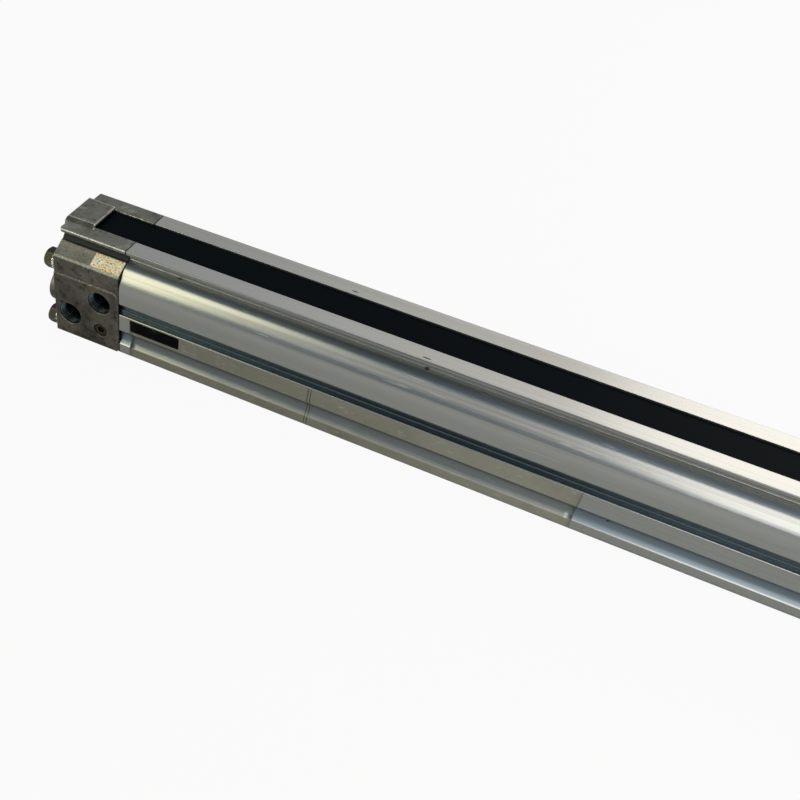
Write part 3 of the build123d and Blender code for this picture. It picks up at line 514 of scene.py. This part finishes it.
def cast(name, colour, wear):
    """Die-cast aluminium: orange-peel grain, brown grime with painted shade in corners, rubbed bright along
    its edges.
    """
    s = Shader(name)
    grain = s.noise(1300.0, 3.0, 0.6)
    peel = s.noise(380.0, 3.0, 0.55)
    clouds = s.noise(70.0, 4.0, 0.6)
    flecks = s.noise(1500.0, 2.0, 0.5, offset=(5.0, 0.0, 1.0)).spread(0.62, 0.72)
    pits = s.noise(1500.0, 3.0, 0.65, offset=(4.0, 4.0, 0.0)).spread(0.38, 0.47)
    rubbed = s.noise(95.0, 4.0, 0.6, offset=(2.0, 7.0, 1.0)).spread(0.54, 0.70)
    stains = s.noise(210.0, 4.0, 0.7, offset=(9.0, 3.0, 4.0)).spread(0.52, 0.66)
    smudges = s.noise(55.0, 4.0, 0.65, offset=(6.0, 2.0, 8.0)).spread(0.38, 0.62)
    worn = s.edges(1.1 * mm) * s.noise(420.0, 3.0, 0.6).spread(0.32, 0.62)
    # Darker in the corners: brown grime together with painted shade.
    crevice_dirt_and_shade = s.crevices(5.0 * mm) * s.noise(160.0, 3.0, 0.6).spread(0.25, 0.65, 0.45, 1.0)
    pads, scraped, side, rolled, parting, slope, lit, shelf = cap_places(s)
    shade = s.layered(
        s.shade(colour, grain * 0.40 + peel * 0.50 + clouds * 0.80 + 0.20),
        (stains * 0.55, BROWN_STAIN),
        (rubbed * 0.45, RUBBED_CAST),
        (flecks * 0.45, BRIGHT_FLECK),
        (crevice_dirt_and_shade.clamped() * 0.85, CORNER_DIRT_AND_SHADE),
        (scraped * grain.spread(0.38, 0.58) * 0.85, SCRAPED_CAST),
        # The ground pads' own finish, with painted glints.
        (pads * pits, s.mix(peel.spread(0.40, 0.60), PAD_GOLD_GLINT, PAD_PALE_GLINT)),
        # Painted shade on the side faces, mottled by smudges.
        (side * 0.78, s.mix(smudges, SIDE_SHADE_DARK, SIDE_SHADE_PALE)),
        (side * stains * 0.6, OIL_STAIN),
        (slope * clouds.spread(0.30, 0.60, 0.45, 0.85), COVER_SHADE),
        (worn * (1.0 - side * 0.65) * wear, WORN_CAST),
        # Painted shade and painted glints along the rolled edge.
        (rolled * 0.6, s.mix(grain.spread(0.55, 0.68), ROLLED_SHADE, ROLLED_GLINT)),
        (lit * grain.spread(0.30, 0.55), EDGE_LIGHT),
        (shelf * 0.94, SHELF_SHADE),
        (parting * 0.5, PARTING_SHADE),
        (joint_line(s), JOINT_SHADE),
    )
    rough = peel * 0.16 + clouds * 0.12 - worn * 0.12 + pads * 0.20 - rolled * 0.24 + 0.34
    metal = 0.86 - pads * pits * 0.78 - scraped * 0.5
    normal = s.bump(grain * 0.4 + peel, 0.09 * mm, 0.7, s.soft_edges(0.7 * mm))
    return s.finish(Base_Color=shade, Metallic=metal, Roughness=rough, Normal=normal)


def plated(name, colour, wear, socketed=False):
    """Plated steel: blotches, brown residue with painted shade in the corners and bright rubbed edges."""
    s = Shader(name)
    blotches = s.noise(320.0, 4.0, 0.6)
    grit = s.noise(1800.0, 2.0, 0.5)
    worn = s.edges(0.45 * mm) * s.noise(700.0, 2.0, 0.6).spread(0.3, 0.6)
    # Darker in the corners: brown residue together with painted shade.
    crevice_dirt_and_shade = s.crevices(1.5 * mm) * blotches.spread(0.3, 0.6, 0.4, 1.0)
    layers = [(crevice_dirt_and_shade.clamped() * 0.8, RESIDUE_AND_SHADE), (worn * wear, RUBBED_STEEL)]
    if socketed:
        layers.append((s.y.size().short_of(SIDE - 1.0, SIDE - 0.4) * 0.95, SOCKET_SHADE))
    shade = s.layered(s.shade(colour, blotches * 0.6 + grit * 0.3 + 0.5), *layers)
    normal = s.bump(grit * 0.5 + blotches, 0.03 * mm, 0.5, s.soft_edges(0.3 * mm))
    rough = blotches * 0.2 + grit * 0.1 + 0.24
    return s.finish(Base_Color=shade, Metallic=0.95, Roughness=rough, Normal=normal)


def flecked(name):
    """Bright zinc on the lock washers, with painted glints where their facets catch the light."""
    s = Shader(name)
    # Painted glints on the facets.
    facet_glints = s.noise(900.0, 2.0, 0.6).spread(0.47, 0.54)
    shade = s.mix(facet_glints, ZINC_DARK, ZINC_GLINT)
    normal = s.bump(facet_glints, 0.12 * mm, 0.8, s.soft_edges(0.2 * mm))
    return s.finish(Base_Color=shade, Metallic=0.95, Roughness=facet_glints * 0.1 + 0.26, Normal=normal)


def turned(name, colour, rough_level=0.28):
    """Turned or milled metal with fine tool marks across X."""
    s = Shader(name)
    marks = s.noise(2600.0, 2.0, 0.5, (1.0, 0.02, 0.02))
    clouds = s.noise(60.0, 3.0, 0.6)
    shade = s.shade(colour, marks * 0.18 + clouds * 0.18 + 0.82)
    rough = marks * 0.12 + clouds * 0.08 + (rough_level - 0.08)
    normal = s.bump(marks, 0.01 * mm, 0.5, s.soft_edges(0.3 * mm))
    return s.finish(Base_Color=shade, Metallic=1.0, Roughness=rough, Normal=normal)


def moulded(name, colour, grain_scale=1500.0, rough_level=0.45):
    """Moulded plastic with a fine eroded grain and rubbed edges."""
    s = Shader(name)
    grain = s.noise(grain_scale, 3.0, 0.6)
    clouds = s.noise(90.0, 3.0, 0.6)
    shade = s.shade(colour, grain * 0.16 + clouds * 0.2 + 0.82)
    rough = grain * 0.12 + clouds * 0.1 + (rough_level - 0.1)
    normal = s.bump(grain, 0.03 * mm, 0.5, s.soft_edges(0.4 * mm))
    return s.finish(Base_Color=shade, Metallic=0.0, Roughness=rough, Normal=normal)


def rubber(name):
    """Black nitrile rubber, dull, with a faint bloom."""
    s = Shader(name)
    bloom = s.noise(240.0, 4.0, 0.6)
    shade = s.mix(bloom.spread(0.45, 0.8) * 0.4, RUBBER_BLACK, RUBBER_BLOOM)
    normal = s.bump(bloom, 0.02 * mm, 0.4)
    return s.finish(Base_Color=shade, Metallic=0.0, Roughness=bloom * 0.2 + 0.5, Normal=normal)


def band_film(name, colour):
    """Black sealing band: satin, drawn along X, with grey rub marks and a little dust."""
    s = Shader(name)
    drawn = s.noise(1400.0, 2.0, 0.5, (0.004, 1.0, 1.0))
    rubs = s.noise(300.0, 3.0, 0.65, (0.03, 1.0, 1.0)).spread(0.56, 0.72)
    dust = s.noise(2400.0, 2.0, 0.5).spread(0.74, 0.80)
    shade = s.layered(s.mix(rubs * 0.20, colour, BAND_RUB), (dust * 0.30, BAND_DUST))
    rough = drawn * 0.12 + rubs * 0.12 + 0.36
    normal = s.bump(drawn, 0.006 * mm, 0.4)
    return s.finish(Base_Color=shade, Metallic=0.0, Roughness=rough, Normal=normal, Specular_IOR_Level=0.02)


def thread_metal(name):
    """Cut thread in the casting, mottled with oil: painted cool light on its upper side, painted shade below
    and towards the bottom.
    """
    s = Shader(name)
    oil = s.noise(420.0, 3.0, 0.6)
    # Painted shade deeper in the port, and painted light on the threads' upper side.
    sunk_shade = s.y.past(0.8 - SIDE, 5.8 - SIDE)
    upper = s.towards(s.add("ShaderNodeNewGeometry", {}, {}, "Normal"), THREAD_LIT_FACING).spread(0.0, 0.8)
    shade = s.shade(s.mix(upper, THREAD_SHADE, THREAD_COOL_LIGHT), oil.spread(0.30, 0.70, 0.6, 1.2))
    shade = s.mix(sunk_shade, shade, THREAD_DEPTH_SHADE)
    normal = s.bump(oil, 0.02 * mm, 0.4)
    return s.finish(Base_Color=shade, Metallic=0.9, Roughness=oil * 0.15 + 0.22, Normal=normal)


def rounded_field(s, span_x, span_z, radius):
    """1 inside a rectangle of X and Z with round corners, by the distance to its inner rectangle."""
    parts = []
    for value, (low, high) in ((s.x, span_x), (s.z, span_z)):
        middle, half = (low + high) / 2, (high - low) / 2 - radius
        parts.append(((value - middle).size() - half).math("MAXIMUM", 0.0))
    across, up = parts
    return (across * across + up * up).math("SQRT").spread(radius - 0.05 * mm, radius + 0.05 * mm, 1.0, 0.0)


def foil_print(name, colour, start):
    """Silver label foil: creased and scuffed, with a plain black field and two thin divider lines."""
    s = Shader(name)
    creases = s.noise(150.0, 4.0, 0.65, (0.35, 1.0, 1.0))
    scuffs = s.noise(700.0, 3.0, 0.6, (0.25, 1.0, 1.0)).spread(0.60, 0.72)
    grime = s.noise(45.0, 4.0, 0.65, (0.6, 1.0, 1.0)).spread(0.45, 0.75)
    field_x, field_z = [start + at * mm for at in FIELD_X], [at * mm for at in FIELD_Z]
    field = rounded_field(s, field_x, field_z, FIELD_CORNER * mm)
    first, second = (
        s.within(s.x, start + at * mm, start + (at + RULE_WIDTH) * mm, 0.05 * mm) for at in RULES_X
    )
    rules = (first + second) * s.strip(s.z, RULES_Z, 0.1) * 0.75
    # Painted light: the foil grows lighter towards its right end.
    tone = creases * 0.25 + s.x.spread(start + 60.0 * mm, start + 240.0 * mm, 0.86, 1.16)
    shade = s.layered(
        s.shade(colour, tone),
        (grime * 0.35, FOIL_GRIME),
        (scuffs * 0.35, SCUFFED),
        # Painted cool reflection in the trough.
        (trough(s) * 0.65, FOIL_TROUGH_REFLECTION),
        (rules.clamped(), RULE_INK),
        (field * (1.0 - scuffs * 0.06), FIELD_INK),
    )
    rough = creases * 0.14 + grime * 0.12 + field * 0.06 + 0.26
    metal = (1.0 - field) * 0.85
    normal = s.bump(creases, 0.06 * mm, 0.55)
    return s.finish(Base_Color=shade, Metallic=metal, Roughness=rough, Normal=normal, Specular_IOR_Level=0.03)


# Fine pieces
def band_profile(half_width, low, high, edge):
    """The band's section: a rectangle whose two upper corners are quarter circles of the edge radius."""
    turn = np.linspace(0.0, math.pi / 2, 7)
    right = np.stack([half_width - edge + edge * np.cos(turn), high - edge + edge * np.sin(turn)], -1)
    left = right[::-1] * (-1.0, 1.0)
    return np.concatenate([[(-half_width, low), (half_width, low)], right, left])


def thread_sleeve(x, z, face_y, cone, depth, mouth, bore, pitch, crest):
    """A threaded lining for a port with a conical mouth.

    The wall's radius falls evenly from the mouth to the bore over the cone and stays there. The outer
    side lies a skin outside the wall, in the casting. The inner side lies a skin inside it and comes
    nearer to the crest radius by w, a cosine wave of the pitch, sharpened by a power, that moves on by
    one pitch per turn. The wave grows to its full height over the first pitch of thread.
    """
    rows, columns = 170, 80
    skin, first, run_in, sharpness = 0.05 * mm, 0.5 * mm, 0.8 * mm, 1.3
    turn = np.linspace(0.0, 2 * math.pi, columns, endpoint=False)[None, :]

    def around(inward, radius):
        flat = 0 * inward * turn
        return np.stack([x + radius * np.cos(turn), face_y + inward + flat, z + radius * np.sin(turn)], -1)

    inward = np.linspace(first, depth, rows)[:, None]
    wall = mouth - (mouth - bore) * np.clip(inward / cone, 0.0, 1.0)
    wave = (0.5 - 0.5 * np.cos(2 * math.pi * inward / pitch - turn)) ** sharpness
    start = np.clip((inward - run_in) / pitch, 0.0, 1.0)
    inner = around(inward, wall - skin - start * wave * (wall - skin - crest))
    back, front = inward[::-20], wall[::-20]
    outer = around(back, front + skin)
    points = np.concatenate([inner, outer])
    return points, grid_faces(len(points), columns, wrap_rows=True, wrap_columns=True)


def side_path(top, bottom):
    """The barrel's near side as (y, z) points: label face, shallow round trough, flange face.

    The trough is the arc through its two rims and its deepest point. The whole path is a running mean
    over 0.8 mm, which rounds the rims as the extrusion's are.
    """
    rim_high, rim_low, sink = 16.2 * mm, 6.2 * mm, 2.5 * mm
    half = (rim_high - rim_low) / 2
    radius = (half ** 2 + sink ** 2) / (2 * sink)
    middle_z, middle_y = (rim_high + rim_low) / 2, near_face_y - (radius - sink)
    reach = math.asin(half / radius)
    turn = np.linspace(reach, -reach, 90)
    step = 0.05 * mm
    upper = np.arange(top + 0.4 * mm, rim_high, -step)
    lower = np.arange(rim_low, bottom - 0.4 * mm, -step)
    above, below = (np.full(len(part), near_face_y) for part in (upper, lower))
    y = np.concatenate([above, middle_y + radius * np.cos(turn), below])
    z = np.concatenate([upper, middle_z + radius * np.sin(turn), lower])
    gone = np.concatenate([[0.0], np.cumsum(np.hypot(np.diff(y), np.diff(z)))])
    even = np.arange(0.0, gone[-1], step)
    y, z = np.interp(even, gone, y), np.interp(even, gone, z)
    width = int(0.8 * mm / step)
    window = np.full(width, 1.0 / width)
    return np.stack([np.convolve(y, window, "valid"), np.convolve(z, window, "valid")], -1)[::4]


def offset_path(path, distance):
    """The path moved outwards, to the near side, along its own normals."""
    slope = np.gradient(path, axis=0)
    slope /= np.linalg.norm(slope, axis=1)[:, None]
    return path + distance * np.stack([slope[:, 1], -slope[:, 0]], -1)


class UNIT_OT_sealing_band(bpy.types.Operator):
    """Lays the sealing band straight along its whole seat"""
    bl_idname = "unit.sealing_band"
    bl_label = "Sealing band"

    def execute(self, context):
        sizes, finishes, _ = settings()
        tail = 30.0 * mm
        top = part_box("band_clamp_left")[0][2]
        profile = band_profile(band_high[1], top - BAND_THICKNESS, top, sizes.band_edge)
        points, faces = swept(profile, np.linspace(joint_x - tail, tail - joint_x, 40))
        finish = band_film("sealing_band", finishes.band)
        piece = mesh_piece("sealing_band", points, faces, finish, smooth=False)
        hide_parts("outer_band")
        return {"FINISHED"}


class UNIT_OT_port_threads(bpy.types.Operator):
    """Cuts the threads of the two open ports"""
    bl_idname = "unit.port_threads"
    bl_label = "Port threads"

    def execute(self, context):
        sizes, _, _ = settings()
        finish = thread_metal("port_thread")
        for mount in frame["record"]["mounts"]:
            if mount["name"] in ("port_a", "port_b"):
                x, y, z = mount["pos_m"]
                face_y = cap_low[1]
                bore, length = mount["dims"]["r_mm"] * mm, mount["dims"]["length_mm"] * mm
                cone = y - length / 2 - face_y
                depth, crest = cone + length - 0.1 * mm, bore - sizes.thread_depth
                points, faces = thread_sleeve(
                    x, z, face_y, cone, depth, sizes.port_mouth, bore, sizes.thread_pitch, crest,
                )
                mesh_piece(f"{mount['name']}_thread", points, faces, finish)
        return {"FINISHED"}


class UNIT_OT_foil_label(bpy.types.Operator):
    """Sticks the bare foil label on the barrel's near side"""
    bl_idname = "unit.foil_label"
    bl_label = "Foil label"

    def execute(self, context):
        sizes, finishes, _ = settings()
        path = side_path(sizes.foil_top, sizes.foil_bottom)
        inner = offset_path(path, 0.01 * mm)
        outer = offset_path(path, sizes.foil_thickness)
        profile = np.concatenate([inner, outer[::-1]])
        start = joint_x + sizes.foil_start
        points, faces = swept(profile, np.linspace(start, start + sizes.foil_length, 60))
        finish = foil_print("foil_label", finishes.foil, start)
        mesh_piece("foil_label", points, faces, finish)
        return {"FINISHED"}


class UNIT_OT_barrel_finish(bpy.types.Operator):
    """Anodises the barrel and its carriage"""
    bl_idname = "unit.barrel_finish"
    bl_label = "Anodised parts"

    def execute(self, context):
        _, finishes, _ = settings()
        dress(anodised("anodised_barrel", finishes.barrel, grooved=True), "barrel")
        dress(anodised("anodised_carriage", finishes.barrel, 0.34), "carriage")
        return {"FINISHED"}


class UNIT_OT_cap_finish(bpy.types.Operator):
    """Gives the end caps their cast and rubbed surface"""
    bl_idname = "unit.cap_finish"
    bl_label = "End caps"

    def execute(self, context):
        _, finishes, _ = settings()
        dress(cast("cast_cap", finishes.cap, finishes.wear), "end_cap")
        return {"FINISHED"}


class UNIT_OT_screw_finish(bpy.types.Operator):
    """Finishes the screws, washers and plugs"""
    bl_idname = "unit.screw_finish"
    bl_label = "Screws and plugs"

    def execute(self, context):
        _, finishes, _ = settings()
        screws = plated("plated_screws", finishes.screw, finishes.wear)
        plugs = plated("plated_plugs", finishes.screw, finishes.wear * 0.3, socketed=True)
        dress(screws, "cap_screws", "wiper_screws", "yoke_screws", "band_clamp_screw")
        dress(plugs, "port_plugs", "cushion_screw")
        dress(flecked("lock_washers"), "cap_washers")
        return {"FINISHED"}


class UNIT_OT_inner_finish(bpy.types.Operator):
    """Finishes the parts inside the bore and under the carriage"""
    bl_idname = "unit.inner_finish"
    bl_label = "Inner parts"

    def execute(self, context):
        dress(turned("turned_aluminium", (0.62, 0.63, 0.63)), "piston_head", "piston_yoke")
        dress(turned("turned_brass", (0.66, 0.47, 0.19)), "cushion_spigot", "band_clamp")
        dress(turned("spring_steel", (0.55, 0.56, 0.56), 0.2), "inner_band")
        dress(moulded("black_plastic", (0.020, 0.021, 0.022)), "wiper", "band_shoe")
        slides = moulded("slide_plastic", (0.70, 0.68, 0.62))
        dress(slides, "slide_strip_near", "slide_strip_far", "guide_ring")
        dress(moulded("bonded_magnet", (0.05, 0.048, 0.045), 3000.0, 0.6), "magnet_ring")
        seals = rubber("seal_rubber")
        dress(seals, "bore_seal", "duct_seals", "cushion_screw_seal", "piston_seal", "cushion_seal")
        return {"FINISHED"}


# Stage. A lamp has its place, target, width and height, share of the power that is set, and colour.
WHITE = (1.0, 1.0, 1.0)
PAPER_DARK, PAPER_LIGHT, PAPER_FAR_SHADE = (0.50, 0.50, 0.49), (0.54, 0.54, 0.53), (0.36, 0.37, 0.37)
WALL_LIGHT, SKY_LIGHT, WINDOW_LIGHT = (1.0, 0.99, 0.97), (0.48, 0.74, 1.0), (1.0, 0.94, 0.88)
WINDOW_HEADING = (0.50, 0.62, 0.60)
FLOOR_Z = -0.2 * mm
LAMPS = {
    "window_lamp": ((1.35, 1.85, 1.55), (0.05, 0.0, 0.05), (2.4, 1.6), 1.0, (1.0, 0.94, 0.87)),
    "left_lamp": ((-1.76, -1.80, 1.70), (-1.76, 0.0, 1.70), (1.5, 2.9), 1.0, (1.0, 0.95, 0.62)),
    "right_lamp": ((1.10, -1.80, 1.44), (1.10, 0.0, 1.44), (1.6, 2.4), 0.82, (1.0, 0.96, 0.90)),
}


def lamp(name, place, target, size, power, colour):
    """A large rectangular lamp at a place, turned to a target."""
    light = bpy.data.lights.new(name, "AREA")
    light.shape, light.size, light.size_y = "RECTANGLE", *size
    light.energy, light.color = power, colour
    holder = bpy.data.objects.new(name, light)
    holder.location = place
    holder.rotation_euler = (Vector(target) - Vector(place)).to_track_quat("-Z", "Y").to_euler()
    bpy.context.scene.collection.objects.link(holder)


def floor_paper(name):
    """Pale floor: matt, and lifted towards white as background, so only the shadow stays grey."""
    s = Shader(name)
    near = s.mix(s.noise(40.0, 3.0, 0.6), PAPER_DARK, PAPER_LIGHT)
    far = s.add("ShaderNodeVectorMath", {"operation": "LENGTH"}, {0: s.spot}, 1).spread(0.5, 1.6)
    # Painted shade on the floor far off, and painted light towards its right.
    pale = s.shade(s.mix(far, near, PAPER_FAR_SHADE), s.x.spread(-0.30, 0.10, 0.94, 1.24))
    matt = s.add("ShaderNodeBsdfDiffuse", {}, {"Color": pale})
    glow = s.add("ShaderNodeEmission", {}, {"Color": WHITE, "Strength": 1.0})
    s.output(s.add("ShaderNodeMixShader", {}, {0: s.backdrop(0.93, 0.15), 1: matt, 2: glow}))
    return s.material


def room(name, level):
    """Surroundings: dim at the horizon, light half way up, dark overhead, with a glow by the window."""
    s = Shader(name, "worlds")
    heading = s.add("ShaderNodeTexCoord", {}, {}, "Generated")
    up = s.add("ShaderNodeSeparateXYZ", {}, {0: heading}, "Z")
    window = s.towards(heading, WINDOW_HEADING)
    bright = up.spread(0.14, 0.38, 0.40, 1.0) * up.spread(0.72, 0.92, 1.0, 0.34)
    bright = bright + window.spread(0.55, 0.99, 0.0, 1.35)
    cool = up.spread(0.15, 0.36, 1.0, 0.0) + up.spread(0.65, 0.92)
    colour = s.mix(cool.clamped(), WALL_LIGHT, SKY_LIGHT)
    colour = s.mix(window.spread(0.60, 0.90), colour, WINDOW_LIGHT)
    lit = s.add("ShaderNodeBackground", {}, {"Color": colour, "Strength": bright * level})
    glow = s.add("ShaderNodeBackground", {}, {"Color": WHITE, "Strength": 1.0})
    s.output(s.add("ShaderNodeMixShader", {}, {0: s.backdrop(0.95, 0.04), 1: lit, 2: glow}), "World")
    return s.material


class UNIT_OT_stage(bpy.types.Operator):
    """Sets the floor, the lamps, the surroundings and the camera"""
    bl_idname = "unit.stage"
    bl_label = "Stage"

    def execute(self, context):
        _, _, stage = settings()
        scene = context.scene
        half = stage.floor_size / 2
        span = np.linspace(-half, half, 5)
        grid = np.stack(np.meshgrid(span, span, [FLOOR_Z], indexing="ij"), -1).reshape(-1, 3)
        mesh = bpy.data.meshes.new("floor")
        mesh.from_pydata(grid.tolist(), [], grid_faces(5, 5)[:, ::-1].tolist())
        mesh.materials.append(floor_paper("floor_paper"))
        floor = bpy.data.objects.new("floor", mesh)
        scene.collection.objects.link(floor)

        for name, (place, target, size, share, colour) in LAMPS.items():
            power = stage.window_power if name == "window_lamp" else stage.front_power
            lamp(name, place, target, size, power * share, colour)

        scene.world = room("surroundings", stage.world_level)
        scene.view_settings.view_transform = "Standard"
        self.place_camera(scene)
        return {"FINISHED"}

    def place_camera(self, scene):
        """Puts the camera where the photograph was taken: turn, tilt and roll about its eye point.

        The focal length and the centre of view are in pixels of the square picture of the given size.
        """
        focal, centre, size = 936.9, (300.0, 340.0), 800.0
        eye_point = (-0.1005, -0.3602, 0.3567)
        turn, tilt, roll = (math.radians(angle) for angle in (17.7, 40.78, -8.58))
        ahead = Vector((-math.sin(turn) * math.cos(tilt), math.cos(turn) * math.cos(tilt), -math.sin(tilt)))
        level = Vector((math.cos(turn), math.sin(turn), 0.0))
        down = ahead.cross(level)
        right = level * math.cos(roll) + down * math.sin(roll)
        lower = down * math.cos(roll) - level * math.sin(roll)
        eye = bpy.data.cameras.new("photo_camera")
        eye.sensor_width = 36.0
        eye.lens = focal / size * eye.sensor_width
        eye.shift_x = (size / 2 - centre[0]) / size
        eye.shift_y = (centre[1] - size / 2) / size
        eye.clip_start, eye.clip_end = 0.01, 50.0
        camera = bpy.data.objects.new("photo_camera", eye)
        turned_axes = Matrix((right, -lower, -ahead)).transposed().to_4x4()
        camera.matrix_world = Matrix.Translation(eye_point) @ turned_axes
        scene.collection.objects.link(camera)
        scene.camera = camera


class UNIT_PT_panel(bpy.types.Panel):
    """Lists the pieces of the linear unit"""
    bl_label = "Linear unit"
    bl_idname = "UNIT_PT_panel"
    bl_space_type = "VIEW_3D"
    bl_region_type = "UI"
    bl_category = "Linear unit"

    def draw(self, context):
        for group in settings():
            box = self.layout.box()
            for name in group.__annotations__:
                box.prop(group, name)
        for operator in OPERATORS:
            self.layout.operator(operator.bl_idname)


OPERATORS = (
    UNIT_OT_barrel_finish, UNIT_OT_cap_finish, UNIT_OT_screw_finish, UNIT_OT_inner_finish,
    UNIT_OT_sealing_band, UNIT_OT_port_threads, UNIT_OT_foil_label, UNIT_OT_stage,
)
GROUPS = {"unit_sizes": UnitSizes, "unit_finishes": UnitFinishes, "unit_stage": UnitStage}


def register():
    """Registers the settings, the operators and the panel."""
    for name, group in GROUPS.items():
        bpy.utils.register_class(group)
        setattr(bpy.types.Scene, name, bpy.props.PointerProperty(type=group))
    for cls in (*OPERATORS, UNIT_PT_panel):
        bpy.utils.register_class(cls)


def unregister():
    """Takes everything out again."""
    for cls in (UNIT_PT_panel, *reversed(OPERATORS)):
        bpy.utils.unregister_class(cls)
    for name, group in GROUPS.items():
        delattr(bpy.types.Scene, name)
        bpy.utils.unregister_class(group)


def main():
    """Registers the add-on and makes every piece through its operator."""
    register()
    for operator in OPERATORS:
        group, name = operator.bl_idname.split(".")
        if getattr(getattr(bpy.ops, group), name)() != {"FINISHED"}:
            raise RuntimeError(f"{operator.bl_label} was not made")


if __name__ == "__main__":
    main()
